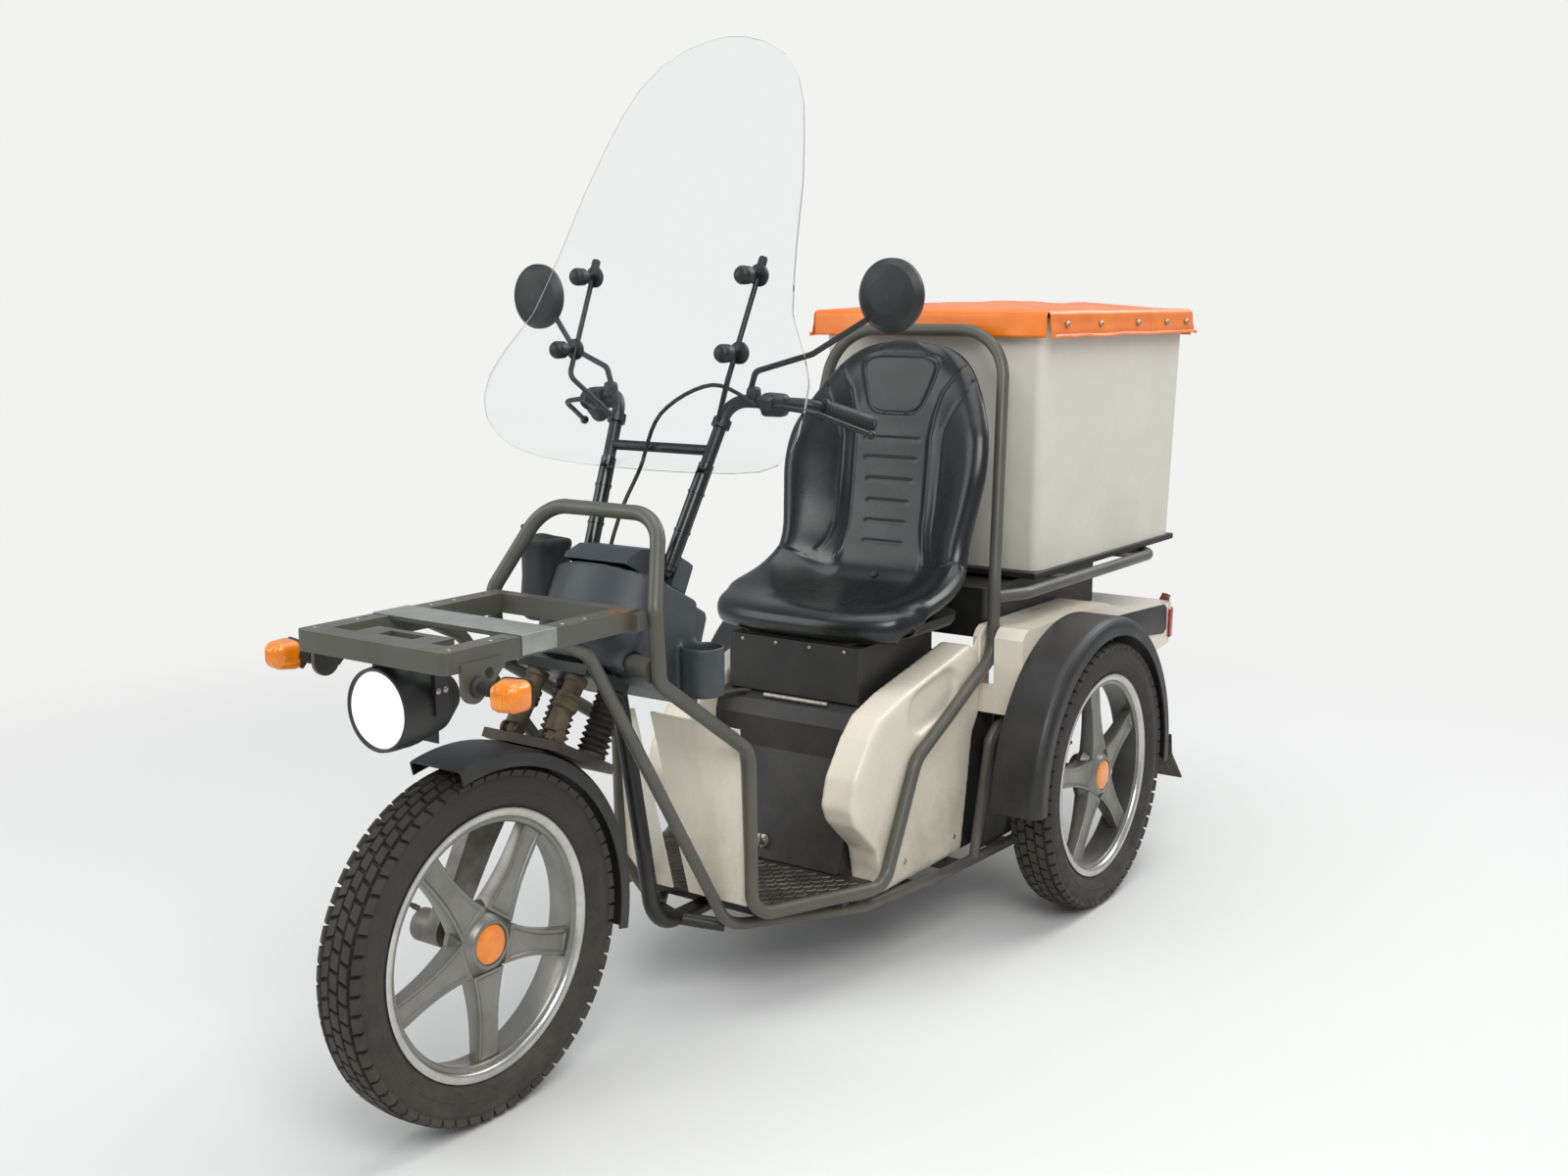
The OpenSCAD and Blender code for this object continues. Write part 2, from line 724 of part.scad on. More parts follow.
module mirrors() {
    base = on_bar(1, 0.25);
    color(black) at_frame() both() {
        bent_tube([base + [0, 0, bar_r + 1.8], base + [0, 12, 50], [ax - 545, 262, 1182],
            [mirror_x - 6, 345, 1240], [mirror_x - 6, 387, 1277]], [14, 18, 20], 10);
        translate([mirror_x, 387, 1277]) rotate([0, -90, 0]) rotate_extrude()
            polygon([[0, -14], [30, -12], [50, -6], [60, 4], [60, 12], [0, 12]]);
    }
}

// the screen leans back and its lower end curls in
screen_knobs = [1185, 1310];
screen_side = concat([[ax - 425 - (screen_top - 1170) * 0.443, screen_top]],
    curve([[ax - 452, 1231], [ax - 425, 1170], [ax - 397, 1100], [ax - 394, 1055],
    [ax - 408, 1015], [ax - 440, 985]], 4));
screen_edge = curve([[0, screen_top], [130, screen_top - 28], [185, screen_top - 97],
    [236, 1246 + 0.45 * (screen_top - 1246)], [281, 1246], [346, 1140], [335, 1050], [261, 1002],
    [0, 985]], 5);

module windscreen() {
    back = [for (i = [len(screen_side) - 1:-1:0]) screen_side[i] - [screen_t, 0]];
    other = [for (i = [len(screen_edge) - 2:-1:1]) [-screen_edge[i][0], screen_edge[i][1]]];
    color(clear_sheet) at_frame() difference() {
        intersection() {
            across(-600, 600) polygon(concat(screen_side, back));
            rotate([90, 0, 90]) linear_extrude(big) polygon(concat(screen_edge, other));
        }
        both() for (z = screen_knobs) translate([ax - 540, 179, z]) rotate([0, 90, 0])
            cylinder(r = 5.2, h = 300);
    }
}

function screen_x(z) = ax - 425 - (z - 1170) * 0.443 - screen_t;

module screen_arms() {
    foot = on_bar(0, 0.86) + [bar_r * 0.9, 0, bar_r * 0.4];
    color(black) at_frame() both() difference() {
        union() {
            bent_tube([foot, [screen_x(1140) - 16, 172, 1140], [screen_x(1340) - 16, 182, 1340]], [20], 9);
            rod(on_bar(0, 0.835), on_bar(0, 0.885), 2 * bar_r + 10);
            for (z = screen_knobs) {
                rod([screen_x(z) - 18, 179, z], [screen_x(z) + 24, 179, z], 9);
                rod([screen_x(z) + screen_t + 8.2, 179, z], [screen_x(z) + 28, 179, z], 30);
            }
        }
        rod(on_bar(0, 0.75), on_bar(0, 0.95), 2 * bar_r + 2 * fit);
    }
}

module brake_cable() {
    color(black) at_frame() bent_tube([on_bar(1, 0.4) + [16, 0, -4], [ax - 478, 105, 1130],
        [ax - 452, 15, 1080], [ax - 452, -32, 985], [ax - 424, -46, 925], [ax - 394, -48, 866]],
        [30, 50, 50, 50], 7);
}

// wheels

module tyre() {
    w = tyre_w / 2;
    b = rim_r - 9.5;
    half = [[b, 28.4], [rim_r + 1, 29.4], [rim_r + 7, 38], [rim_r + 24, w - 1], [tyre_r - 22, w],
        [tyre_r - 7, w - 7], [tyre_r, w - 20]];
    color(black) rotate([90, 0, 0]) rotate_extrude()
        polygon(concat(half, [for (i = [len(half) - 1:-1:0]) [half[i][0], -half[i][1]]]));
}

// the dished face with the spokes looks along +Y
module rim() {
    b = rim_r - 10;
    color(silver) difference() {
        union() {
            rotate([-90, 0, 0]) rotate_extrude() polygon([[b - 8, -33], [rim_r, -35], [rim_r, -30],
                [b, -29], [b, 29], [rim_r, 30], [rim_r, 35], [b - 4, 33], [b - 6, 27], [b - 14, 24],
                [b - 14, 4], [b - 6, 0]]);
            rotate([-90, 0, 0]) translate([0, 0, -36]) cylinder(r = 36, h = 72);
            rotate([-90, 0, 0]) translate([0, 0, -34]) cylinder(r = 72, h = 24);
            rotate([-90, 0, 0]) translate([0, 0, -20]) cylinder(r = 57, h = 44);
            for (i = [0:spokes - 1]) rotate([0, 90 + i * 360 / spokes, 0]) translate([0, 8, 0])
                rotate([-90, 0, 0]) linear_extrude(12)
                polygon([[45, -28], [b - 9, -20], [b - 9, 20], [45, 28]]);
        }
        rotate([-90, 0, 0]) translate([0, 0, -37]) cylinder(r = bore_r, h = 68);
    }
}

module wheel_at(x, y, turned) {
    at_frame() translate([x, y, axle_up()]) rotate([0, 0, turned]) children();
}

module front_tyre() {
    wheel_at(ax, 0, 0) tyre();
}

module front_rim() {
    wheel_at(ax, 0, 0) rim();
}

module rear_left_tyre() {
    wheel_at(0, hub_y, 0) tyre();
}

module rear_left_rim() {
    wheel_at(0, hub_y, 0) rotate([0, -rear_roll, 0]) rim();
}

module rear_right_tyre() {
    wheel_at(0, -hub_y, 180) tyre();
}

module rear_right_rim() {
    wheel_at(0, -hub_y, 180) rotate([0, -rear_roll, 0]) rim();
}

// lid

// the cover's top is crowned, and its sides and rear hang over the box's rim
module box_lid() {
    y0 = lid_y - lid_wall;
    crown = [[-lid_y, cover_low], [-lid_y, cover_z + 3], [-lid_y + 12, cover_z + 9],
        [-lid_y / 2, cover_z + 17], [0, cover_z + 20], [lid_y / 2, cover_z + 17],
        [lid_y - 12, cover_z + 9], [lid_y, cover_z + 3], [lid_y, cover_low]];
    color(orange) at_frame() {
        difference() {
            rotate([90, 0, 90]) translate([0, 0, lid_rear]) linear_extrude(lid_front - lid_rear)
                polygon(crown);
            block(lid_rear + lid_wall, lid_front + 1, -y0, y0, cover_low - 1, cover_z);
            both() block(lid_front - 9, lid_front + 1, y0 - 1, lid_y + 1, cover_low - 1, cover_z);
        }
        block(lid_front - 10, lid_front, -box_y, box_y, cover_z - clear + fit, cover_z + 1);
    }
}

front_hoop();
side_tubes();
rear_hoop();
lower_rails();
rear_subframe();
rear_rack();
front_rack();
head_tube();
cross_members();
floor_plate();
leg_shields();
battery_cover();
battery_pack();
side_panels();
rear_body();
rear_fenders();
mud_flaps();
tail_lamps();
seat_base();
seat();
electronics_box();
box_tray();
cargo_box();
cowl();
glovebox();
side_bag();
head_lamp();
head_lamp_lens();
indicators();
rear_axle();
fork_crown();
fork_guides();
fork_leg();
front_fender();
handlebar();
hand_controls();
dash_cap();
mirrors();
screen_arms();
windscreen();
brake_cable();
front_tyre();
front_rim();
rear_left_tyre();
rear_left_rim();
rear_right_tyre();
rear_right_rim();
box_lid();
cover_band();
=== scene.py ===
import math
import bmesh
import bpy
from mathutils import Matrix, Vector, noise


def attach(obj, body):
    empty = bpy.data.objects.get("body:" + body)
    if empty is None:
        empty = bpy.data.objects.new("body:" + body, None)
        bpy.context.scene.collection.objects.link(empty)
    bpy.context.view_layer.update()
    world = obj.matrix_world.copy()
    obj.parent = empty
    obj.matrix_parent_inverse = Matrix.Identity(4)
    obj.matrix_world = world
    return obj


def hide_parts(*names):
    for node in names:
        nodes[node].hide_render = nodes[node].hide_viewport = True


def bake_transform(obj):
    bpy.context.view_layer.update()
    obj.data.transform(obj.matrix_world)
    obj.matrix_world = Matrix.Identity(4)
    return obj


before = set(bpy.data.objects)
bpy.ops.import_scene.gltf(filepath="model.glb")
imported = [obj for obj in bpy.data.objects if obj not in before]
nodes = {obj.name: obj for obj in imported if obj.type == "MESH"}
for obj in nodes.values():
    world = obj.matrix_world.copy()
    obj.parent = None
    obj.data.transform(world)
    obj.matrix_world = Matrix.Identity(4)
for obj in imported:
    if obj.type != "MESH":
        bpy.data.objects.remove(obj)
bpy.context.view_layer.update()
scene = bpy.context.scene
scene.view_settings.view_transform = "Standard"

xAxis, yAxis, zAxis = Vector((1, 0, 0)), Vector((0, 1, 0)), Vector((0, 0, 1))
bothSides = ((1, "Left"), (-1, "Right"))
# driving sizes of the part, in mm
wheelbase, halfTrack, axleUp = 1410, 391, 284


def mm(x, y, z):
    # the part's source is drawn in mm from the rear axle, the frame is in metres from its middle
    return Vector((x - 475, y, z)) / 1000


def blendIn(low, high, value):
    t = min(1, max(0, (value - low) / (high - low)))
    return t * t * (3 - 2 * t)


def onLine(points, at):
    # value at a place on a list of (place, value), straight between its points
    if at <= points[0][0]:
        return points[0][1]
    for (a, va), (b, vb) in zip(points, points[1:]):
        if at <= b:
            return va + (vb - va) * (at - a) / (b - a)
    return points[-1][1]


def roundedLine(points, steps):
    # a smooth line through the points, with the same number of steps between each two
    line = []
    last = len(points) - 1
    for i in range(last):
        a, b, c, d = (points[max(0, i - 1)], points[i], points[i + 1], points[min(last, i + 2)])
        for k in range(steps):
            t = k / steps
            line.append(0.5 * (2 * b + (c - a) * t + (2 * a - 5 * b + 4 * c - d) * t ** 2
                               + (3 * b - a - 3 * c + d) * t ** 3))
    return line + [points[last]]


def linear(code):
    parts = [int(code[i:i + 2], 16) / 255 for i in (1, 3, 5)]
    return [p / 12.92 if p <= 0.04045 else ((p + 0.055) / 1.055) ** 2.4 for p in parts] + [1]


def put(tree, kind, settings=None, inputs=None):
    made = tree.nodes.new("ShaderNode" + kind)
    for key, value in (settings or {}).items():
        setattr(made, key, value)
    for key, value in (inputs or {}).items():
        if isinstance(value, bpy.types.NodeSocket):
            tree.links.new(value, made.inputs[key])
        else:
            made.inputs[key].default_value = value
    return made


def makeFinish(name, look):
    # colour in two shades, chips, dust and stains over it, and a grain in the surface, all at sizes in mm
    material = bpy.data.materials.new(name)
    material.use_nodes = True
    tree = material.node_tree
    tree.nodes.clear()
    where = put(tree, "TexCoord").outputs["Object"]
    patch = put(tree, "TexNoise", None, {"Vector": where, "Scale": 1000 / look["patch"], "Detail": 5,
                                         "Roughness": 0.62}).outputs["Fac"]
    shade = put(tree, "MapRange", None, {"Value": patch, "From Min": 0.36, "From Max": 0.68}).outputs[0]
    height = put(tree, "SeparateXYZ", None, {0: where}).outputs["Z"]
    # each layer is how much it covers and its colour, from the paint outwards
    layers = [(shade, look["second"])]
    fine = put(tree, "TexNoise", None, {"Vector": where, "Scale": 1000 / look["grain"], "Detail": 3,
                                        "Roughness": 0.55}).outputs["Fac"]
    smooth, dull = look["rough"]
    rough = put(tree, "MapRange", None, {"Value": patch, "From Min": 0.3, "From Max": 0.7,
                                         "To Min": smooth, "To Max": dull}).outputs[0]
    if "chips" in look:
        spots = put(tree, "TexNoise", None, {"Vector": where, "Scale": 1000 / look["chips"], "Detail": 8,
                                             "Roughness": 0.7}).outputs["Fac"]
        chip = put(tree, "MapRange", None, {"Value": spots, "From Min": look["chipFrom"],
                                            "From Max": look["chipFrom"] + 0.03}).outputs[0]
        layers.append((chip, look["chipColour"]))
    if "upper" in look:
        low, high = look["upperFrom"]
        above = put(tree, "MapRange", None, {"Value": height, "From Min": low, "From Max": high}).outputs[0]
        layers.append((above, look["upper"]))
    if "dust" in look:
        top, bottom = look["dustFrom"]
        fall = put(tree, "MapRange", None, {"Value": height, "From Min": top, "From Max": bottom,
                                            "To Max": look["dustMost"]}).outputs[0]
        cloud = put(tree, "TexNoise", None, {"Vector": where, "Scale": 1000 / look["dustSize"],
                                             "Detail": 7, "Roughness": 0.65}).outputs["Fac"]
        cloud = put(tree, "MapRange", None, {"Value": cloud, "From Min": 0.35,
                                             "From Max": 0.65}).outputs[0]
        dust = put(tree, "Math", {"operation": "MULTIPLY"}, {0: fall, 1: cloud}).outputs[0]
        layers.append((dust, look["dust"]))
    if "stain" in look:
        reach = look["stainSize"] / 1000
        away = put(tree, "VectorMath", {"operation": "DISTANCE"}, {0: where, 1: look["stainAt"]}).outputs[1]
        near = put(tree, "MapRange", None, {"Value": away, "From Min": reach, "From Max": 0.2 * reach}).outputs[0]
        ragged = put(tree, "TexNoise", None, {"Vector": where, "Scale": 90, "Detail": 8}).outputs["Fac"]
        ragged = put(tree, "MapRange", None, {"Value": ragged, "From Min": 0.36, "From Max": 0.52}).outputs[0]
        stain = put(tree, "Math", {"operation": "MULTIPLY"}, {0: near, 1: ragged}).outputs[0]
        layers.append((stain, look["stain"]))
    colour = linear(look["colour"])
    for cover, code in layers:
        colour = put(tree, "Mix", {"data_type": "RGBA"}, {0: cover, 6: colour, 7: linear(code)}).outputs[2]
    bump = put(tree, "Bump", None, {"Strength": look.get("grainPull", 0.4),
                                    "Distance": look["grainDepth"] / 1000, "Height": fine}).outputs[0]
    shader = put(tree, "BsdfPrincipled", None,
                 {"Base Color": colour, "Roughness": rough, "Normal": bump, **look.get("shader", {})})
    put(tree, "OutputMaterial", None, {"Surface": shader.outputs[0]})
    material.diffuse_color = linear(look["colour"])
    return material


# grey-olive stoving paint on steel tube: even and satin, with small dark chips and a little dust low down
paintLook = {
    "colour": "#57564d", "second": "#4b4a42", "patch": 140, "grain": 2.2, "grainDepth": 0.05,
    "rough": (0.32, 0.44), "chips": 55, "chipFrom": 0.735, "chipColour": "#2f2822",
    "dust": "#67604f", "dustFrom": (0.6, 0.1), "dustMost": 0.3, "dustSize": 90}
framePaint = makeFinish("stovingPaint", paintLook)
# the same paint on the rack, where it has rusted through at the end of the left rail
rackPaint = makeFinish("rustedStovingPaint", {
    **paintLook, "chips": 30, "chipFrom": 0.7, "stain": "#7d5433", "stainAt": mm(1226, 136, 797),
    "stainSize": 34})
# cream ABS panel, vacuum formed and polished: smooth, bright, with faint grey handling marks
creamPanel = makeFinish("creamAbs", {
    "colour": "#e4dccb", "second": "#dad0bc", "patch": 220, "grain": 40, "grainDepth": 0.25,
    "rough": (0.2, 0.34), "chips": 120, "chipFrom": 0.74, "chipColour": "#a79f8d",
    "dust": "#948a77", "dustFrom": (0.42, 0.14), "dustMost": 0.55, "dustSize": 110,
    "shader": {"Coat Weight": 0.25, "Coat Roughness": 0.15}})
# rotation-moulded polyethylene box: milky white, matt, light goes a little way in
boxPolyethylene = makeFinish("polyethylene", {
    "colour": "#dad6ca", "second": "#d1ccbe", "patch": 260, "grain": 3, "grainDepth": 0.1,
    "rough": (0.42, 0.58), "chips": 90, "chipFrom": 0.755, "chipColour": "#b4ab97",
    "dust": "#b9b09c", "dustFrom": (1.0, 0.7), "dustMost": 0.4, "dustSize": 160,
    "shader": {"Subsurface Weight": 0.15, "Subsurface Radius": (0.012, 0.01, 0.008),
               "Subsurface Scale": 0.3}})
# black ABS with a fine leather-like mould grain: satin, greyed by dust
blackAbs = makeFinish("blackAbs", {
    "colour": "#1b1b1c", "second": "#232323", "patch": 120, "grain": 1.6, "grainDepth": 0.08,
    "rough": (0.38, 0.55), "dust": "#5a544a", "dustFrom": (0.85, 0.1), "dustMost": 0.3, "dustSize": 80})
# slate ABS of the cowl: satin and finely grained
slateAbs = makeFinish("slateAbs", {
    "colour": "#3b4246", "second": "#333a3e", "patch": 150, "grain": 1.4, "grainDepth": 0.06,
    "rough": (0.36, 0.5), "dust": "#6a665d", "dustFrom": (0.95, 0.4), "dustMost": 0.3, "dustSize": 60})
# black vinyl skin on foam: glossy, with a pebbled leather print
blackVinyl = makeFinish("vinylSkin", {
    "colour": "#0e0e0f", "second": "#141415", "patch": 90, "grain": 2.6, "grainDepth": 0.12,
    "grainPull": 0.35, "rough": (0.22, 0.36), "shader": {"Coat Weight": 0.2, "Coat Roughness": 0.2}})
# black powder coat on steel: satin, slightly orange-peeled
blackCoat = makeFinish("powderCoat", {
    "colour": "#171718", "second": "#1f1f20", "patch": 70, "grain": 1.8, "grainDepth": 0.06,
    "rough": (0.32, 0.48), "chips": 40, "chipFrom": 0.76, "chipColour": "#4a4640",
    "dust": "#5b5346", "dustFrom": (0.5, 0.05), "dustMost": 0.25, "dustSize": 60})
# aluminium tread plate: dull metal, dark with trodden dirt
treadPlate = makeFinish("treadPlate", {
    "colour": "#57564f", "second": "#3c3a35", "patch": 60, "grain": 1.5, "grainDepth": 0.08,
    "rough": (0.4, 0.6), "dust": "#4b4335", "dustFrom": (0.21, 0.19), "dustMost": 0.4, "dustSize": 45,
    "shader": {"Metallic": 0.7}})
# cast alloy of the wheels: silver lacquer over a lightly pebbled casting
castAlloy = makeFinish("castAlloy", {
    "colour": "#8d8c86", "second": "#7c7b75", "patch": 80, "grain": 1.8, "grainDepth": 0.06,
    "rough": (0.3, 0.44), "chips": 45, "chipFrom": 0.75, "chipColour": "#5d574d",
    "dust": "#7a705f", "dustFrom": (0.5, 0.05), "dustMost": 0.25, "dustSize": 50,
    "shader": {"Metallic": 0.75}})
# turned rim lip: bare bright aluminium with fine turning lines
brightLip = makeFinish("turnedAlloy", {
    "colour": "#c9c8c3", "second": "#b5b4ae", "patch": 50, "grain": 0.8, "grainDepth": 0.03,
    "rough": (0.2, 0.32), "shader": {"Metallic": 0.95}})
# sand-cast fork leg: grey metal, rough and dirty
forkAlloy = makeFinish("sandCastAlloy", {
    "colour": "#86857f", "second": "#6c6a63", "patch": 45, "grain": 1.6, "grainDepth": 0.15,
    "rough": (0.4, 0.58), "dust": "#5c5141", "dustFrom": (0.7, 0.1), "dustMost": 0.5, "dustSize": 40,
    "upper": "#3a342c", "upperFrom": (0.5, 0.54), "shader": {"Metallic": 0.55}})
# tyre rubber: dull black turned brown-grey by road dust
tyreRubber = makeFinish("tyreRubber", {
    "colour": "#262422", "second": "#35312c", "patch": 60, "grain": 1.3, "grainDepth": 0.12,
    "rough": (0.62, 0.82), "dust": "#5d5446", "dustFrom": (0.6, 0.0), "dustMost": 0.45, "dustSize": 45})
# moulded rubber of gaiters and flaps: dull black with brown road dirt
gaiterRubber = makeFinish("gaiterRubber", {
    "colour": "#1c1a19", "second": "#2c2722", "patch": 40, "grain": 1.2, "grainDepth": 0.1,
    "rough": (0.5, 0.7), "dust": "#6a5a44", "dustFrom": (0.78, 0.3), "dustMost": 0.55, "dustSize": 30})
# grip rubber: plain black, polished a little by hands
gripRubber = makeFinish("gripRubber", {
    "colour": "#141414", "second": "#1b1b1b", "patch": 30, "grain": 1.2, "grainDepth": 0.08,
    "rough": (0.38, 0.55)})
# coated tarpaulin: strong orange, slightly glossy skin over a weave that shows as fine bumps
orangeTarp = makeFinish("coatedTarpaulin", {
    "colour": "#ee7d0e", "second": "#e06c0a", "patch": 130, "grain": 2.4, "grainDepth": 0.08,
    "rough": (0.26, 0.4), "chips": 100, "chipFrom": 0.74, "chipColour": "#b45a14",
    "shader": {"Coat Weight": 0.2, "Coat Roughness": 0.2}})
# black nylon cloth: matt weave
nylonCloth = makeFinish("nylonCloth", {
    "colour": "#131316", "second": "#1c1c1f", "patch": 50, "grain": 1.4, "grainDepth": 0.15,
    "rough": (0.6, 0.8), "shader": {"Sheen Weight": 0.2, "Sheen Roughness": 0.5}})
# amber acrylic lens: clear tinted plastic over a reflector, deep and glossy, with a faint painted glow (emission)
# that stands in for light off the reflector
amberLens = makeFinish("amberAcrylic", {
    "colour": "#ee8a10", "second": "#d9700a", "patch": 25, "grain": 3, "grainDepth": 0.2,
    "rough": (0.12, 0.2), "shader": {"Coat Weight": 0.6, "Coat Roughness": 0.05,
                                     "Emission Color": linear("#ef8f12"), "Emission Strength": 0.05}})
# red acrylic lens: deep and glossy
redLens = makeFinish("redAcrylic", {
    "colour": "#a3120f", "second": "#870d0c", "patch": 25, "grain": 3, "grainDepth": 0.2,
    "rough": (0.1, 0.18), "shader": {"Coat Weight": 0.6, "Coat Roughness": 0.05}})
# lit lamp glass: white and bright, with moulded flutes
lampGlass = makeFinish("lampGlass", {
    "colour": "#f2f4f6", "second": "#e6eaee", "patch": 20, "grain": 5, "grainDepth": 0.4,
    "rough": (0.08, 0.14), "shader": {"Emission Color": linear("#ffffff"), "Emission Strength": 0.75}})
# zinc plated fasteners: pale metal, slightly yellow
zincPlate = makeFinish("zincPlate", {
    "colour": "#b3b0a6", "second": "#98948a", "patch": 8, "grain": 0.8, "grainDepth": 0.03,
    "rough": (0.28, 0.42), "shader": {"Metallic": 0.9}})
# polycarbonate sheet: seen through almost freely, with a thin reflection that grows at a slant
screenSheet = bpy.data.materials.new("polycarbonate")
screenSheet.use_nodes = True
sheetTree = screenSheet.node_tree
sheetTree.nodes.clear()
through = put(sheetTree, "BsdfTransparent", None, {"Color": linear("#fbfdfd")}).outputs[0]
gleam = put(sheetTree, "BsdfGlossy", None, {"Color": linear("#ffffff"), "Roughness": 0.03}).outputs[0]
slant = put(sheetTree, "LayerWeight", None, {"Blend": 0.07}).outputs["Fresnel"]
sheetMix = put(sheetTree, "MixShader", None, {0: slant, 1: through, 2: gleam}).outputs[0]
put(sheetTree, "OutputMaterial", None, {"Surface": sheetMix})
screenSheet.diffuse_color = linear("#e8f0f2")
# silvered mirror glass: flat, and clear in what it reflects
mirrorGlass = makeFinish("mirrorGlass", {
    "colour": "#d6dade", "second": "#d0d5da", "patch": 60, "grain": 60, "grainDepth": 0.01,
    "rough": (0.02, 0.04), "shader": {"Metallic": 1.0}})
print("finishes made:", len(bpy.data.materials))

nodeFinish = {
    framePaint: "front_hoop side_tubes rear_hoop lower_rails rear_subframe rear_rack head_tube",
    rackPaint: "front_rack",
    creamPanel: "leg_shields side_panels rear_body",
    boxPolyethylene: "cargo_box",
    blackAbs: "battery_cover battery_pack rear_fenders seat_base electronics_box box_tray head_lamp "
              "front_fender hand_controls mirrors",
    slateAbs: "cowl glovebox dash_cap",
    blackCoat: "cross_members rear_axle fork_crown handlebar screen_arms",
    treadPlate: "floor_plate",
    forkAlloy: "fork_leg",
    gaiterRubber: "mud_flaps fork_guides brake_cable",
    nylonCloth: "side_bag",
    redLens: "tail_lamps",
    amberLens: "indicators",
}
for finish, names in nodeFinish.items():
    for name in names.split():
        nodes[name].data.materials.clear()
        nodes[name].data.materials.append(finish)


def joinTriangles(node):
    # a CAD node's mesh is loose triangles: merged, they take a bevel or a new skin as one surface
    weld = node.modifiers.new("joined", "WELD")
    weld.merge_threshold = 0.00002


# moulded shells get an even skin that is relaxed a little: size of its cells in mm, and passes
mouldedSkin = {"side_panels": (5, 9), "cowl": (4, 8), "glovebox": (3, 8)}
for name, (cell, passes) in mouldedSkin.items():
    joinTriangles(nodes[name])
    skin = nodes[name].modifiers.new("evenSkin", "REMESH")
    skin.mode = "VOXEL"
    skin.voxel_size = cell / 1000
    skin.use_smooth_shade = True
    relax = nodes[name].modifiers.new("relaxed", "SMOOTH")
    relax.factor = 0.5
    relax.iterations = passes
# panels and plates get the small round of a moulded or filed edge, in mm
edgeRound = {"leg_shields": 1.2, "rear_body": 9, "battery_cover": 3, "seat_base": 2, "electronics_box": 4,
             "box_tray": 3, "front_rack": 2.5, "dash_cap": 5, "fork_crown": 2, "fork_leg": 4,
             "cross_members": 1.5, "head_lamp": 1.5, "rear_axle": 2, "mud_flaps": 1.5, "cargo_box": 1.5,
             "tail_lamps": 2}
for name, width in edgeRound.items():
    joinTriangles(nodes[name])
    bevel = nodes[name].modifiers.new("edgeRound", "BEVEL")
    bevel.width = width / 1000
    bevel.segments = 3
    bevel.limit_method = "ANGLE"
    bevel.angle_limit = math.radians(40)
    bevel.harden_normals = True
print("CAD nodes dressed:", len(nodes))


def addPiece(name, bm, body, finish, replaced=(), sharp=38):
    mesh = bpy.data.meshes.new(name)
    bm.to_mesh(mesh)
    bm.free()
    mesh.materials.append(finish)
    mesh.polygons.foreach_set("use_smooth", [True] * len(mesh.polygons))
    mesh.set_sharp_from_angle(angle=math.radians(sharp))
    made = bpy.data.objects.new(name, mesh)
    scene.collection.objects.link(made)
    if body:
        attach(made, body)
    if replaced:
        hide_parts(*[n for n in replaced if n in nodes])
    return made


def turnRound(bm, profile, centre, axis, steps):
    # a profile of (radius, way along the axis) in mm, spun once round the axis
    side = axis.orthogonal().normalized()
    verts = [bm.verts.new(centre + side * r / 1000 + axis * h / 1000) for r, h in profile]
    edges = [bm.edges.new(pair) for pair in zip(verts, verts[1:])]
    bmesh.ops.spin(bm, geom=verts + edges, cent=centre, axis=axis, dvec=(0, 0, 0),
                   angle=math.tau, steps=steps, use_merge=True, use_duplicate=False)
    bmesh.ops.remove_doubles(bm, verts=bm.verts, dist=0.000002)


def turnedPiece(name, profile, centre, axis, body, finish, replaced=(), steps=48, sharp=38):
    bm = bmesh.new()
    turnRound(bm, profile, centre, axis, steps)
    bmesh.ops.recalc_face_normals(bm, faces=bm.faces)
    return addPiece(name, bm, body, finish, replaced, sharp)


def squareRound(angle, power):
    # a point of a square with round corners and sides of 2; a smaller power gives tighter corners
    return [math.copysign(abs(t) ** power, t) for t in (math.cos(angle), math.sin(angle))]


def skinRings(bm, rings):
    # walls between rings with the same number of points, closed at both ends
    for low, high in zip(rings, rings[1:]):
        for k in range(len(low)):
            bm.faces.new((low[k], low[k - 1], high[k - 1], high[k]))
    bm.faces.new(rings[0])
    bm.faces.new(rings[-1])
    bmesh.ops.recalc_face_normals(bm, faces=bm.faces)


# camera, floor and light
cameraSet = {"spot": (3136.8, 1791.0, 1266.5), "heading": -145.082, "pitch": -9.849, "lens": 37.8}
camera = bpy.data.objects.new("camera", bpy.data.cameras.new("camera"))
scene.collection.objects.link(camera)
scene.camera = camera
camera.data.sensor_width = 36
camera.data.lens = cameraSet["lens"]
heading, pitch = math.radians(cameraSet["heading"]), math.radians(cameraSet["pitch"])
camera.location = mm(*cameraSet["spot"])
look = Vector((math.cos(heading) * math.cos(pitch), math.sin(heading) * math.cos(pitch), math.sin(pitch)))
camera.rotation_euler = look.to_track_quat("-Z", "Y").to_euler()

floorSet = {"size": 30, "fadeFrom": 1.3, "fadeTo": 3.6}
bm = bmesh.new()
bmesh.ops.create_grid(bm, x_segments=1, y_segments=1, size=floorSet["size"])
floorMesh = bpy.data.meshes.new("floor")
bm.to_mesh(floorMesh)
bm.free()
floor = bpy.data.objects.new("floor", floorMesh)
scene.collection.objects.link(floor)
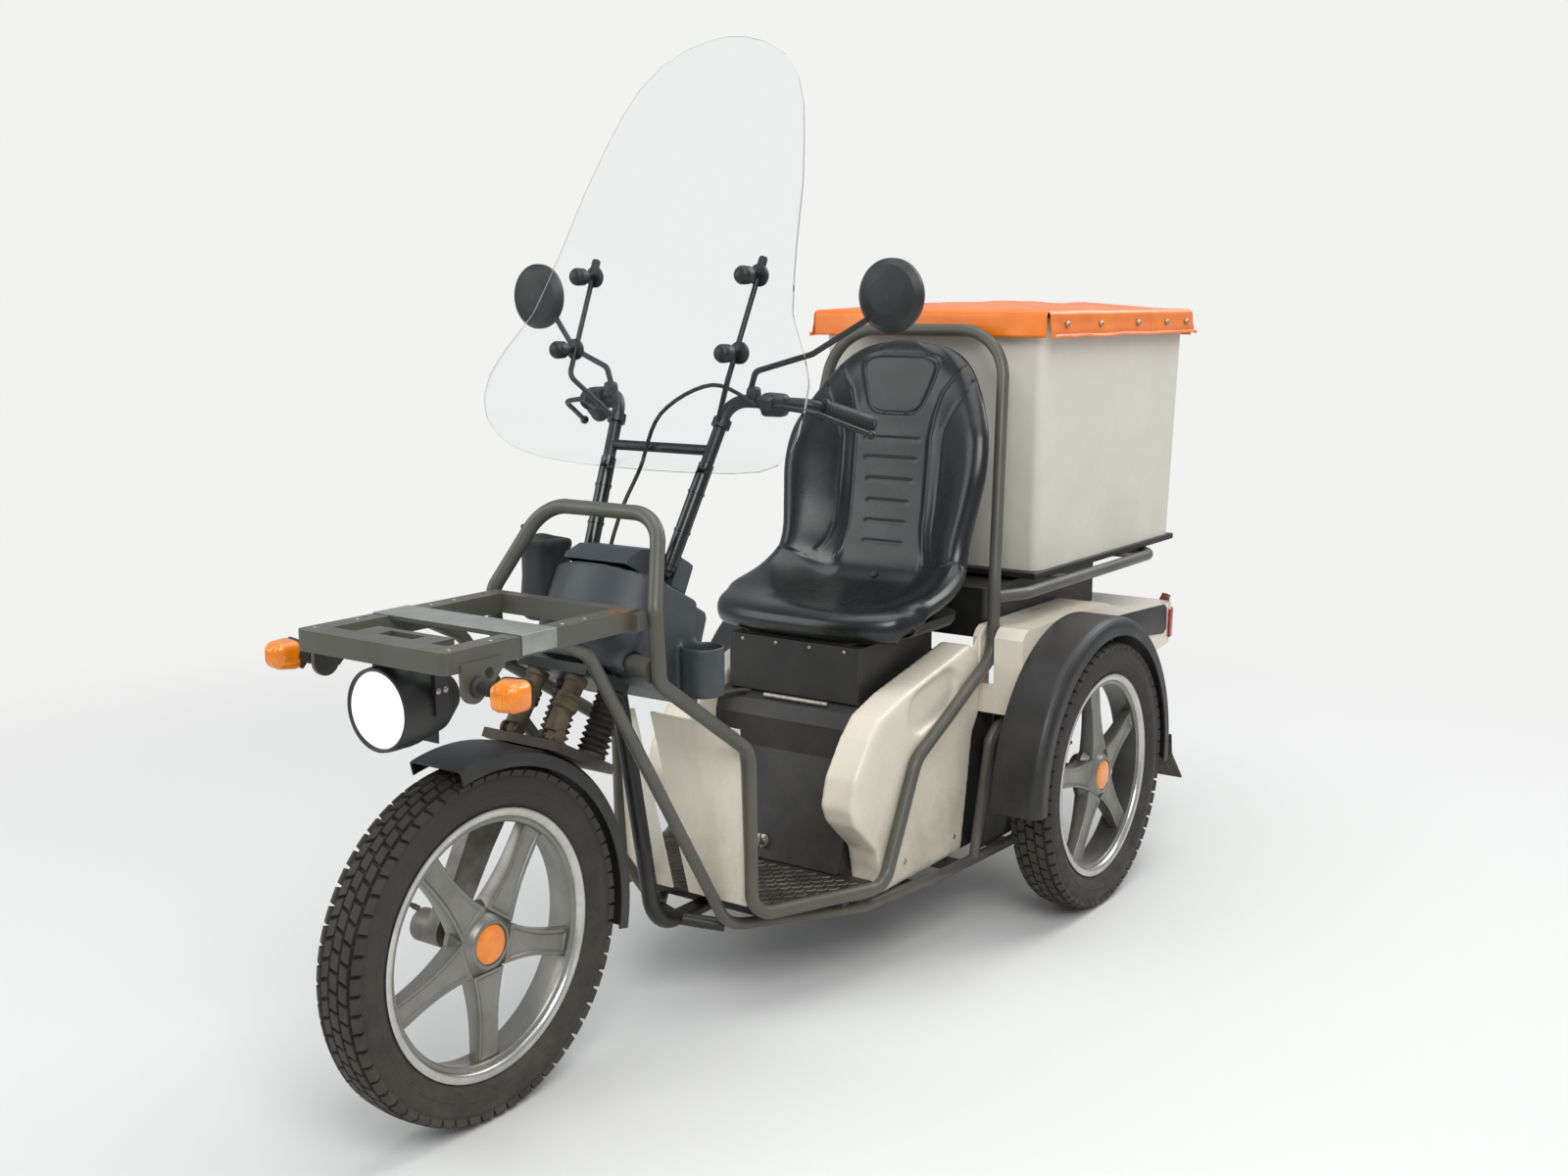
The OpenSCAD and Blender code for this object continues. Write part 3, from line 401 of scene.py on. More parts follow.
# pale floor that keeps the shadow; far from the part it turns into the plain backdrop
floorFinish = bpy.data.materials.new("paleFloor")
floorFinish.use_nodes = True
floorTree = floorFinish.node_tree
floorTree.nodes.clear()
ground = put(floorTree, "BsdfPrincipled", None, {"Base Color": linear("#dededb"), "Roughness": 0.8}).outputs[0]
plain = put(floorTree, "Emission", None, {"Color": linear("#f2f2f1"), "Strength": 1}).outputs[0]
away = put(floorTree, "VectorMath", {"operation": "LENGTH"},
           {0: put(floorTree, "TexCoord").outputs["Object"]}).outputs[1]
far = put(floorTree, "MapRange", {"interpolation_type": "SMOOTHSTEP"},
          {"Value": away, "From Min": floorSet["fadeFrom"], "From Max": floorSet["fadeTo"]}).outputs[0]
seen = put(floorTree, "LightPath").outputs["Is Camera Ray"]
share = put(floorTree, "Math", {"operation": "MULTIPLY"}, {0: far, 1: seen}).outputs[0]
floorMix = put(floorTree, "MixShader", None, {0: share, 1: ground, 2: plain}).outputs[0]
put(floorTree, "OutputMaterial", None, {"Surface": floorMix})
floorMesh.materials.append(floorFinish)

# place, size and power of each lamp, all turned to the middle of the part
lampSet = {"key": ((2.6, 2.4, 3.4), 2.2, 95), "fill": ((2.8, -2.6, 2.2), 2.6, 45),
           "back": ((-2.8, 1.2, 3.2), 2.4, 70), "top": ((0, 0, 4.2), 3.2, 60)}
for lampName, (spot, size, power) in lampSet.items():
    lamp = bpy.data.objects.new(lampName, bpy.data.lights.new(lampName, "AREA"))
    scene.collection.objects.link(lamp)
    lamp.data.size = size
    lamp.data.energy = power
    lamp.location = spot
    lamp.rotation_euler = (Vector((0, 0, 0.6)) - Vector(spot)).to_track_quat("-Z", "Y").to_euler()
world = bpy.data.worlds.new("studio")
scene.world = world
world.use_nodes = True
worldTree = world.node_tree
worldTree.nodes.clear()
sky = put(worldTree, "Background", None, {"Color": linear("#dfe4ea"), "Strength": 0.6}).outputs[0]
backdrop = put(worldTree, "Background", None, {"Color": linear("#f2f2f1"), "Strength": 1}).outputs[0]
seen = put(worldTree, "LightPath").outputs["Is Camera Ray"]
worldMix = put(worldTree, "MixShader", None, {0: seen, 1: sky, 2: backdrop}).outputs[0]
put(worldTree, "OutputWorld", None, {"Surface": worldMix})
print("stage set")

# wheels
wheelSet = {"tyreR": axleUp, "rimR": 215, "spokes": 5, "pitches": 60, "lugDeep": 6}


def buildTyre(name, body, centre, replaced):
    r, rim = wheelSet["tyreR"] - wheelSet["lugDeep"], wheelSet["rimR"]
    half = [(rim - 8, 29), (rim + 1, 30.5), (rim + 4, 33), (rim + 8, 36.5), (rim + 14, 41), (rim + 20, 43.4),
            (rim + 22, 43.6), (rim + 23, 44.6), (rim + 26, 44.9), (rim + 27, 44.2), (rim + 34, 44.6),
            (r - 18, 43.4), (r - 10, 40.5), (r - 5, 35), (r - 2, 26), (r - 0.6, 13), (r, 0)]
    profile = half + [(a, -b) for a, b in half[-2::-1]]
    bm = bmesh.new()
    turnRound(bm, profile, centre, yAxis, 120)
    bmesh.ops.recalc_face_normals(bm, faces=bm.faces)
    # rows of blocks: y of the middle, half width, half length, lean, height of the top over the casing
    rows = [(0, 8, 12.6, 0.3, 5.8), (-18.6, 8, 12.4, -0.34, 5.9), (18.6, 8, 12.4, 0.34, 5.9),
            (-36, 7, 12.2, 0.16, 7), (36, 7, 12.2, -0.16, 7)]
    for row, (y, wide, long, lean, tall) in enumerate(rows):
        base = onLine([(0, r), (13, r - 0.6), (26, r - 2), (35, r - 5), (40.5, r - 10)], abs(y))
        tilt = -math.copysign(onLine([(0, 0), (13, 0.03), (26, 0.14), (35, 0.42), (41, 0.8)], abs(y)), y)
        for i in range(wheelSet["pitches"]):
            angle = math.tau * (i + (0.5 if row in (1, 2) else 0)) / wheelSet["pitches"]
            made = bmesh.ops.create_cube(bm, size=1)["verts"]
            for v in made:
                pinch = 0.92 if v.co.z > 0 else 1.05
                x, across = v.co.x * 2 * long * pinch, v.co.y * 2 * wide * pinch
                v.co = Vector((x + across * lean, across, (v.co.z + 0.5) * (tall + 3) - 3)) / 1000
            toPlace = (Matrix.Translation(centre) @ Matrix.Rotation(angle, 4, "Y")
                       @ Matrix.Translation(Vector((0, y, base)) / 1000) @ Matrix.Rotation(tilt, 4, "X"))
            bmesh.ops.transform(bm, matrix=toPlace, verts=made)
    return addPiece(name, bm, body, tyreRubber, replaced, 30)


def castSpoke():
    # one spoke along +X with its face up: a waisted bar with raised edges on both faces
    b = wheelSet["rimR"] - 10
    bm = bmesh.new()
    for v in bmesh.ops.create_cube(bm, size=1)["verts"]:
        far = v.co.x > 0
        v.co = Vector((b - 11 if far else 46, v.co.y * (46 if far else 66),
                       (19 if far else 25) if v.co.z > 0 else (-2 if far else -9))) / 1000
    for k in range(1, 7):
        bmesh.ops.bisect_plane(bm, geom=bm.verts[:] + bm.edges[:] + bm.faces[:], dist=0.00001,
                               plane_co=((46 + k * (b - 57) / 7) / 1000, 0, 0), plane_no=(1, 0, 0))
    for v in bm.verts:
        t = (v.co.x * 1000 - 46) / (b - 57)
        v.co.y *= 1 - 0.26 * math.sin(math.pi * t)
    bm.normal_update()
    for up, drop in ((1, -3.5), (-1, 3.0)):
        face = [f for f in bm.faces if f.normal.z * up > 0.7]
        bmesh.ops.inset_region(bm, faces=face, thickness=0.0055, use_even_offset=True)
        bmesh.ops.inset_region(bm, faces=face, thickness=0.003, use_even_offset=True)
        for v in {v for f in face for v in f.verts}:
            v.co.z += drop / 1000
    bm.normal_update()
    edges = [e for e in bm.edges if len(e.link_faces) == 2 and e.calc_face_angle(0) > 0.7]
    bmesh.ops.bevel(bm, geom=edges, offset=0.0018, offset_type="OFFSET", affect="EDGES", segments=2,
                    profile=0.5, material=-1)
    mesh = bpy.data.meshes.new("spoke")
    bm.to_mesh(mesh)
    bm.free()
    return mesh


spokeMesh = castSpoke()


def buildRim(name, body, centre, replaced, out, roll):
    # out is +1 where the spokes face +Y and -1 where they face -Y; roll turns the rim as it stands
    rim = wheelSet["rimR"]
    b = rim - 10
    axis = yAxis * out
    bm = bmesh.new()
    well = [(b - 14, 24), (b - 13, 6), (b - 9, -2), (b - 8, -27), (b - 4, -33), (rim - 3, -35.5), (rim, -34.5),
            (rim, -30.5), (b, -29), (b - 2, -12), (b - 6, 0), (b - 2, 12), (b, 29), (rim, 30.5), (rim, 34.5),
            (rim - 3, 35.5), (b - 1, 34), (b - 4.5, 31.5), (b - 6, 27.5), (b - 12, 26.5), (b - 14, 24)]
    turnRound(bm, well, centre, axis, 120)
    hub = [(0, 28.4), (13.2, 28.4), (13.2, -36), (34, -36), (36, -33), (40, -14), (62, -10), (66, 2), (60, 17),
           (44, 24), (40, 31), (38, 32.5), (33.5, 32.5), (32.5, 29.2), (0, 29.2)]
    turnRound(bm, hub, centre, axis, 60)
    bmesh.ops.recalc_face_normals(bm, faces=bm.faces)
    for i in range(wheelSet["spokes"]):
        old = set(bm.verts)
        bm.from_mesh(spokeMesh)
        spin = Matrix.Rotation(math.tau * (i + 0.25) / wheelSet["spokes"] - math.radians(roll) * out, 4, "Y")
        stand = Matrix.Rotation(-math.pi / 2, 4, "X")  # the spoke's face turns from +Z to +Y
        bmesh.ops.transform(bm, matrix=Matrix.Translation(centre)
                            @ Matrix.Rotation(0 if out > 0 else math.pi, 4, "Z") @ spin @ stand,
                            verts=[v for v in bm.verts if v not in old])
    rimPiece = addPiece(name, bm, body, castAlloy, replaced, 40)
    rimPiece.data.materials.append(brightLip)
    for face in rimPiece.data.polygons:
        away = face.center - centre
        if Vector((away.x, away.z)).length > (b - 6.5) / 1000 and away.y * out > 0.026:
            face.material_index = 1
    return rimPiece


def buildReflector(name, body, centre, out):
    axis = yAxis * out
    disc = [(0, 34), (10, 33.9), (22, 33.4), (28, 32.6), (31, 31), (31.5, 29.6), (0, 29.6)]
    return turnedPiece(name, disc, centre, axis, body, amberLens, steps=40)


def buildValve(name, body, centre, out):
    spot = centre + Vector((0.157, 0.012 * out, 0.116))
    inward = (centre + Vector((0, 0.03 * out, 0)) - spot).normalized()
    stem = [(0, -12), (4.2, -12), (4.2, 6), (3.6, 8), (3.6, 22), (4.4, 22.5), (4.4, 33), (3.4, 34.5), (0, 34.5)]
    return turnedPiece(name, stem, spot, inward, body, gaiterRubber, steps=16)


wheels = {
    "frontWheel": ("front_wheel", mm(wheelbase, 0, axleUp), 1, 0, "front_tyre", "front_rim"),
    "rearLeft": ("rear_left_wheel", mm(0, halfTrack, axleUp), 1, 28, "rear_left_tyre", "rear_left_rim"),
    "rearRight": ("rear_right_wheel", mm(0, -halfTrack, axleUp), -1, 28, "rear_right_tyre", "rear_right_rim")}
for name, (body, centre, out, roll, tyreNode, rimNode) in wheels.items():
    buildTyre(name + "Tyre", body, centre, [tyreNode])
    buildRim(name + "Rim", body, centre, [rimNode], out, roll)
    buildReflector(name + "Reflector", body, centre, out)
    buildValve(name + "Valve", body, centre, out)
print("wheels built")

# moulded seat: one skin from the front seam over the cushion and up the back
seatSet = {"across": 144, "along": 288, "roll": 30, "seamDeep": 2.6, "bow": 66}
# x and z of the middle line, half width, rise of the side bolsters, thickness
seatLine = [
    (524, 622, 205, 0, 2), (542, 627, 216, 0, 20), (551, 644, 225, 0, 38), (545, 665, 230, 2, 48),
    (525, 677, 234, 4, 50), (480, 681, 238, 10, 50), (420, 680, 240, 22, 44), (340, 680, 240, 40, 46),
    (280, 687, 236, 58, 50), (243, 703, 231, 66, 52), (222, 732, 227, 66, 50), (208, 780, 226, 62, 46),
    (194, 850, 235, 58, 42), (184, 925, 243, 52, 42), (176, 990, 237, 40, 40), (165, 1045, 216, 24, 38),
    (152, 1100, 186, 8, 36), (142, 1145, 152, -4, 34), (132, 1175, 114, -8, 30), (122, 1188, 76, -6, 22),
    (112, 1186, 52, -2, 10), (108, 1178, 42, 0, 1)]
# height and half width of the two long seams
innerSeam = [(725, 112), (760, 98), (800, 90), (990, 90), (1040, 96), (1083, 109), (1120, 138), (1145, 156)]
outerSeam = [(735, 142), (770, 126), (800, 120), (985, 120), (1010, 125), (1040, 142), (1075, 165),
             (1115, 180)]
# height and half width of each sewn channel
channels = [(985, 67), (943, 62), (899, 54), (854, 49), (812, 49), (770, 48)]


def seatSewing(y, z):
    # how deep a sewn line lies at a place on the back, 0 to 1
    deep = 0
    for seam in (innerSeam, outerSeam):
        if seam[0][0] < z < seam[-1][0]:
            deep = max(deep, math.exp(-((abs(y) - onLine(seam, z)) / 3.4) ** 2))
    for level, reach in channels:
        deep = max(deep, 0.7 * math.exp(-((z - level) / 3.2) ** 2) * blendIn(reach + 5, reach - 3, abs(y)))
    # outline of the head panel, a rounded trapezoid
    wide = 60 + 0.32 * (z - 1038)
    if 1020 < z < 1178:
        ring = ((abs(y) / wide) ** 5 + (abs(z - 1098) / 60) ** 5) ** 0.2
        deep = max(deep, math.exp(-((ring - 1) / 0.045) ** 2))
    return deep


def seatSkin(bm, front):
    # the front or the back face of the cushion, laid along the middle line
    cross = [Vector(row[:3]) for row in seatLine]
    swell = [Vector((row[3], row[4], 0)) for row in seatLine]
    line, shape = roundedLine(cross, 24), roundedLine(swell, 24)
    reach = [0]
    for a, b in zip(line, line[1:]):
        reach.append(reach[-1] + math.hypot(b.x - a.x, b.y - a.y))
    stops = []
    i = 1
    for k in range(seatSet["along"] + 1):
        want = reach[-1] * k / seatSet["along"]
        while i < len(reach) - 1 and reach[i] < want:
            i += 1
        part = (want - reach[i - 1]) / (reach[i] - reach[i - 1])
        before, after = line[max(0, i - 10)], line[min(len(line) - 1, i + 9)]
        way = Vector((after.x - before.x, 0, after.y - before.y)).normalized()
        stops.append((line[i - 1].lerp(line[i], part), shape[i - 1].lerp(shape[i], part), way))
    grid = bmesh.ops.create_grid(bm, x_segments=seatSet["across"], y_segments=seatSet["along"], size=1)
    for v in grid["verts"]:
        u = v.co.x
        spot, swelling, way = stops[round((v.co.y + 1) / 2 * seatSet["along"])]
        x, z, half = spot
        most, thick = swelling.x, max(0, swelling.y)
        outward = Vector((way.z, 0, -way.x))
        edge, flat = abs(u), 0.8
        roll = min(seatSet["roll"], half * 0.6)
        turn = max(0, (edge - flat) / (1 - flat)) * math.pi / 2
        y = min(1, edge / flat) * (half - roll) + roll * math.sin(turn)
        rise = most * blendIn(0.36, 0.84, edge)
        fold = (1 - math.cos(turn)) * thick / 2
        if front:
            off = rise - fold - seatSet["seamDeep"] * (seatSewing(y, z) if x < 262 and turn < 1.2 else 0)
        else:
            off = rise - thick + fold
        bow = seatSet["bow"] * (y / 240) ** 3.4 * blendIn(410, 530, x) * (1 if z < 700 else 0)
        v.co = mm(x - bow, math.copysign(y, u), z) + outward * off / 1000


bm = bmesh.new()
seatSkin(bm, True)
seatSkin(bm, False)
bmesh.ops.remove_doubles(bm, verts=bm.verts, dist=0.0002)
bmesh.ops.recalc_face_normals(bm, faces=bm.faces)
seatPad = addPiece("seatPad", bm, "chassis", blackVinyl, ["seat"], 60)
# moulded pan under the cushion, drawn in towards the seat box: height, rear, front and half width
panSet = {"around": 72, "corner": 0.42}
panLevels = [(650, 212, 520, 214), (636, 222, 522, 216), (628, 224, 520, 210), (621, 244, 528, 176),
             (616.5, 258, 538, 151)]
bm = bmesh.new()
rings = []
for z, back, ahead, half in panLevels:
    ring = []
    for k in range(panSet["around"]):
        u, w = squareRound(math.tau * k / panSet["around"], panSet["corner"])
        ring.append(bm.verts.new(mm((ahead + back) / 2 + u * (ahead - back) / 2, w * half, z)))
    rings.append(ring)
skinRings(bm, rings)
addPiece("seatPan", bm, "chassis", blackAbs)
turnedPiece("seatDrain", [(0, 0), (5, 0), (6.5, 1.2), (8.5, 1.4), (9, 0), (9, -3), (0, -3)], mm(241, 0, 706),
            Vector((0.62, 0, 0.78)), "chassis", gripRubber, steps=24)
print("seat built")

# tarpaulin over the cargo box, folded down on every side
coverSet = {"front": 42, "rear": -744, "half": 290, "top": 1241, "turn": 9, "frontDrop": 54, "flap": 64,
            "rearDrop": 60, "crown": 17, "thick": 1.4}


def foldOver(s, half, turn):
    # out and down for a way s from the middle, over an edge of radius turn at half
    flat = half - turn
    if s <= flat:
        return s, 0
    angle = (s - flat) / turn
    if angle <= math.pi / 2:
        return flat + turn * math.sin(angle), turn * (1 - math.cos(angle))
    return half, turn + s - flat - turn * math.pi / 2


bm = bmesh.new()
c = coverSet
middle, halfLong = (c["front"] + c["rear"]) / 2, (c["front"] - c["rear"]) / 2
spare = c["turn"] * (math.pi / 2 - 1)
longWay, wideWay = halfLong + spare, c["half"] + spare
grid = bmesh.ops.create_grid(bm, x_segments=180, y_segments=140, size=1)["verts"]
for v in grid:
    p = v.co.x
    q = v.co.y * (wideWay + c["flap"] - c["turn"])
    p = p * (longWay + (c["frontDrop"] if p > 0 else c["rearDrop"]) - c["turn"])
    v.co = Vector((p, q, 0))
flatEdge = longWay - c["turn"]
wideEdge = wideWay - c["turn"]
corners = [f for f in bm.faces if abs(f.calc_center_median().x) > flatEdge
           and abs(f.calc_center_median().y) > wideEdge]
bmesh.ops.delete(bm, geom=corners, context="FACES")
flatArea = sum(f.calc_area() for f in bm.faces) / 1e6
for v in bm.verts:
    p, q = v.co.x, v.co.y
    outX, downX = foldOver(abs(p), halfLong, c["turn"])
    outY, downY = foldOver(abs(q), c["half"], c["turn"])
    x, y = middle + math.copysign(outX, p), math.copysign(outY, q)
    inner = max(0, 1 - (outX / halfLong) ** 4) * max(0, 1 - (outY / c["half"]) ** 2)
    crease = (noise.noise(Vector((p / 140, q / 95, 3.1))) * 5
              + noise.noise(Vector((p / 45, q / 60, 8.7))) * 1.6)
    z = c["top"] + 8 - downX - downY + inner * c["crown"]
    if downX + downY < 2:
        z += crease * (0.25 + inner)
    if downY > c["turn"]:
        drop = (downY - c["turn"]) / (c["flap"] - c["turn"])
        wave = noise.noise(Vector((p / 55, 5.5, drop * 0.8))) * 3.5
        y += math.copysign(4 * blendIn(0.2, 0.7, drop) + wave * drop, q)
        z += noise.noise(Vector((p / 90, 1.2, 0))) * 2.5 * drop
        if drop > 0.76:
            curl = (drop - 0.76) / 0.24 * 3.8
            y += math.copysign(4.5 * (1 - math.cos(curl)), q)
            z += (drop - 0.76) * (c["flap"] - c["turn"]) - 4.5 * math.sin(curl)
    if downX > c["turn"]:
        drop = (downX - c["turn"]) / (c["frontDrop"] - c["turn"])
        x += math.copysign(noise.noise(Vector((q / 60, 2.2, drop * 0.8))) * 2.5 * drop + 1.5 * drop, p)
    v.co = mm(x, y, z)
tarp = addPiece("boxCoverTarp", bm, None, orangeTarp, ["box_lid", "cover_band"], 60)
skin = tarp.modifiers.new("skin", "SOLIDIFY")
skin.thickness = c["thick"] / 1000
skin.offset = 0
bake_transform(tarp)
print("cover laid")

# windscreen: one sheet that leans back, widens into two ears and curls in at its foot
screenSet = {"foot": 985, "top": 1722, "thick": 4, "across": 60, "along": 110}
screenSide = [Vector((x, 0, z)) for x, z in (
    (741, 1722), (830, 1520), (919, 1319), (958, 1231), (985, 1170), (1013, 1100), (1016, 1055), (1002, 1015),
    (970, 985))]
# height and half width of the sheet
screenHalf = [(985, 0), (986, 90), (990, 180), (997, 240), (1010, 285), (1030, 315), (1060, 337), (1100, 347),
              (1140, 345), (1180, 325), (1215, 301), (1246, 281), (1300, 267), (1360, 254), (1460, 236),
              (1530, 217), (1590, 198), (1640, 172), (1680, 134), (1706, 84), (1718, 38), (1722, 0)]
bm = bmesh.new()
sideLine = roundedLine(screenSide, 12)[::-1]
grid = bmesh.ops.create_grid(bm, x_segments=screenSet["across"], y_segments=screenSet["along"], size=1)
for v in grid["verts"]:
    ease = 0.5 - 0.5 * math.cos(math.pi * (v.co.y + 1) / 2)  # closer rows near the foot and the crown
    z = screenSet["foot"] + ease * (screenSet["top"] - screenSet["foot"])
    half = onLine(screenHalf, z)
    v.co = mm(onLine([(p.z, p.x) for p in sideLine], z) - screenSet["thick"] / 2, v.co.x * half, z)
bmesh.ops.remove_doubles(bm, verts=bm.verts, dist=0.0001)
bmesh.ops.recalc_face_normals(bm, faces=bm.faces)
screenPiece = addPiece("windscreenSheet", bm, "steering", screenSheet, ["windscreen"], 180)
wall = screenPiece.modifiers.new("wall", "SOLIDIFY")
wall.thickness = screenSet["thick"] / 1000
wall.offset = 0
print("windscreen bent")


def roundBlock(bm, size, rounding, toPlace, taper=1.0):
    # a block of size mm with rounded edges; its top is taper times as wide as its foot
    made = bmesh.ops.create_cube(bm, size=1)["verts"]
    for v in made:
        pinch = taper if v.co.z > 0 else 1
        v.co = Vector((v.co.x * size[0] * pinch, v.co.y * size[1] * pinch, v.co.z * size[2])) / 1000
    old = set(bm.verts) - set(made)
    edges = list({e for v in made for e in v.link_edges})
    bmesh.ops.bevel(bm, geom=edges, offset=rounding / 1000, offset_type="OFFSET", affect="EDGES", segments=3,
                    profile=0.5, material=-1)
    bmesh.ops.transform(bm, matrix=toPlace, verts=[v for v in bm.verts if v not in old])


def facing(spot, along, up=zAxis):
    # a placing matrix at spot with its Z along a direction
    z = along.normalized()
    x = up.cross(z)
    x = x.normalized() if x.length > 1e-4 else xAxis
    y = z.cross(x)
    return Matrix.Translation(spot) @ Matrix((x, y, z)).transposed().to_4x4()


def domeHeads(name, spots, along, radius, body, finish, tall=0.45):
    # pan heads of rivets or screws, each on a surface that looks along the given way
    bm = bmesh.new()
    for spot in spots:
        r, h = radius, radius * tall
        turnRound(bm, [(0, h), (r * 0.5, h * 0.94), (r * 0.85, h * 0.62), (r, h * 0.1), (r, -1.5), (0, -1.5)],
                  spot, along.normalized(), 14)
    bmesh.ops.recalc_face_normals(bm, faces=bm.faces)
    return addPiece(name, bm, body, finish)


def addWire(name, points, radius, body, finish):
    # a round wire or bar along a smooth line through the points
    curve = bpy.data.curves.new(name, "CURVE")
    curve.dimensions = "3D"
    curve.bevel_depth = radius / 1000
    curve.bevel_resolution = 4
    curve.use_fill_caps = True
    line = roundedLine(points, 6)
    spline = curve.splines.new("POLY")
    spline.points.add(len(line) - 1)
    for point, spot in zip(spline.points, line):
        point.co = (*spot, 1)
    curve.materials.append(finish)
    made = bpy.data.objects.new(name, curve)
    scene.collection.objects.link(made)
    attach(made, body)
    return made


# head lamp glass and its ring
headLampAt = mm(wheelbase, 0, 690)
lampLens = [(0, 192), (22, 191), (40, 187.5), (52, 182), (57.5, 176), (58, 172.4), (0, 172.4)]
turnedPiece("headLampGlass", lampLens, headLampAt, xAxis, "chassis", lampGlass, ["head_lamp_lens"])
lampRing = [(57, 172.4), (57, 180), (59, 182), (62, 181), (63, 172), (63, 140), (62.2, 140), (62.2, 172.3),
            (57, 172.4)]
turnedPiece("headLampRing", lampRing, headLampAt, xAxis, "chassis", blackAbs)

# turn signals: a fluted lens in front of a dark shell, on a ribbed rubber stalk
signalSet = {"x": 1550, "y": 235, "z": 738, "wide": 56, "tall": 49, "deep": 36, "turn": 14, "stalkY": 159.4,
             "flutes": 14, "ribs": 5}
for side, tag in bothSides:
    g = signalSet
    spot = mm(g["x"], g["y"] * side, g["z"])
    lean = Matrix.Rotation(math.radians(g["turn"]) * side, 4, "Z")
    flute = g["wide"] / g["flutes"]
    for part, finish, slotName, replaced in (("Lens", amberLens, "amber", ["indicators"]),
                                             ("Shell", blackAbs, "black_plastic", [])):
        bm = bmesh.new()
        made = bmesh.ops.create_cube(bm, size=1)["verts"]
        front = part == "Lens"
        for v in made:
            ahead = v.co.x > 0
            pinch = (0.8 if ahead else 0.97) if front else (1.0 if ahead else 0.5)
            v.co = Vector(((g["deep"] if ahead else -9) if front else (-6 if ahead else -24),
                           v.co.y * g["wide"] * pinch, v.co.z * g["tall"] * pinch)) / 1000
        bmesh.ops.bevel(bm, geom=bm.edges[:], offset=0.013 if front else 0.006, offset_type="OFFSET",
                        affect="EDGES", segments=4, profile=0.5, material=-1)
        if front:
            # shallow flutes across the lens
            for k in range(-6, 7):
                bmesh.ops.bisect_plane(bm, geom=bm.verts[:] + bm.edges[:] + bm.faces[:], dist=0.00001,
                                       plane_co=(0, k * flute / 1000, 0), plane_no=(0, 1, 0))
            for v in bm.verts:
                if v.co.x > 0.02:
                    v.co.x += 0.001 * (1 if round(v.co.y * 1000 / flute) % 2 else -1)
        bmesh.ops.transform(bm, matrix=Matrix.Translation(spot) @ lean, verts=bm.verts[:])
        addPiece("signal" + part + tag, bm, "chassis", finish, replaced, 50)
    stalk = [(0, 0), (15, 0), (15.5, 3), (14, 6), (9, 9)]
    for k in range(g["ribs"]):
        stalk += [(9, 11 + 7 * k), (11.5, 12.5 + 7 * k), (11.5, 15 + 7 * k), (9, 16.5 + 7 * k)]
    stalk += [(9, 50), (0, 50)]
    turnedPiece("signalStalk" + tag, stalk, mm(g["x"] - 4, g["stalkY"] * side, g["z"]), yAxis * side, "chassis",
                gaiterRubber, steps=28)
print("lamps fitted")

# steering parts lie along the steering axis: d ahead of it, s up along it
axisRoot, rake = mm(1013, 0, 867), math.radians(27.8)
axisUp, axisAhead = Vector((-math.sin(rake), 0, math.cos(rake))), Vector((math.cos(rake), 0, math.sin(rake)))


def onAxis(d, y, s):
    return axisRoot + axisAhead * d / 1000 + axisUp * s / 1000 + yAxis * y / 1000


# rubber gaiters and dampers between the two fork bridges
gaiterSet = {"low": -375, "high": -262.5, "folds": 9, "inner": 19, "outer": 27, "apart": 46, "damperApart": 42}
g = gaiterSet
bm = bmesh.new()
for side in (1, -1):
    fold = (g["high"] - g["low"] - 16) / g["folds"]
    profile = [(0, g["low"]), (23, g["low"]), (24, g["low"] + 4), (23, g["low"] + 8)]
    for k in range(g["folds"]):
        z = g["low"] + 8 + k * fold
        wide = g["outer"] - 0.45 * k
        profile += [(g["inner"], z), (wide - 1.5, z + 0.36 * fold), (wide, z + 0.5 * fold),
                    (wide - 1.5, z + 0.64 * fold)]
    profile += [(g["inner"], g["high"] - 8), (22, g["high"] - 7), (22, g["high"]), (0, g["high"])]
    turnRound(bm, profile, onAxis(0, g["apart"] * side, 0), axisUp, 40)
bmesh.ops.recalc_face_normals(bm, faces=bm.faces)
addPiece("forkGaiters", bm, "steering", gaiterRubber, ["fork_guides"])
bm = bmesh.new()
for side in (1, -1):
    foot = onAxis(102, g["damperApart"] * side, g["low"])
    head = onAxis(84, g["damperApart"] * side, g["high"])
    way = (head - foot).normalized()
    profile = [(0, 0), (10, 0), (10, 14), (16, 15), (17, 18), (17, 52), (16, 54), (20, 56), (21, 58), (21, 62),
               (19.5, 64), (20.5, 66), (20.5, 70), (18, 72), (20, 75), (20, 80), (16.5, 82), (16.5, 100),
               (19, 102), (19, 112), (0, 112.5)]
    turnRound(bm, profile, foot, way, 36)
    turnRound(bm, [(0, -16), (11, -16), (11, -14), (7, -14), (7, 14), (12, 14), (12, 19), (0, 19)],
              foot + way * 0.008, yAxis * side, 24)
bmesh.ops.recalc_face_normals(bm, faces=bm.faces)
# steel of the dampers under baked road dirt: brown and dull, with bare dark spots
damperGrime = makeFinish("grimySteel", {
    "colour": "#4f4638", "second": "#6b5c45", "patch": 18, "grain": 1.5, "grainDepth": 0.2,
    "rough": (0.5, 0.72), "chips": 14, "chipFrom": 0.66, "chipColour": "#2b2620", "shader": {"Metallic": 0.35}})
addPiece("forkDampers", bm, "steering", damperGrime)

# handlebar: glossy sleeves with ties on the uprights, and its controls
barPoints = [mm(1034, 88, 827), mm(902, 120, 1104), mm(849, 246, 1097), mm(750, 304, 1060)]


def onBar(i, t, side):
    spot = barPoints[i].lerp(barPoints[i + 1], t)
    return Vector((spot.x, spot.y * side, spot.z))


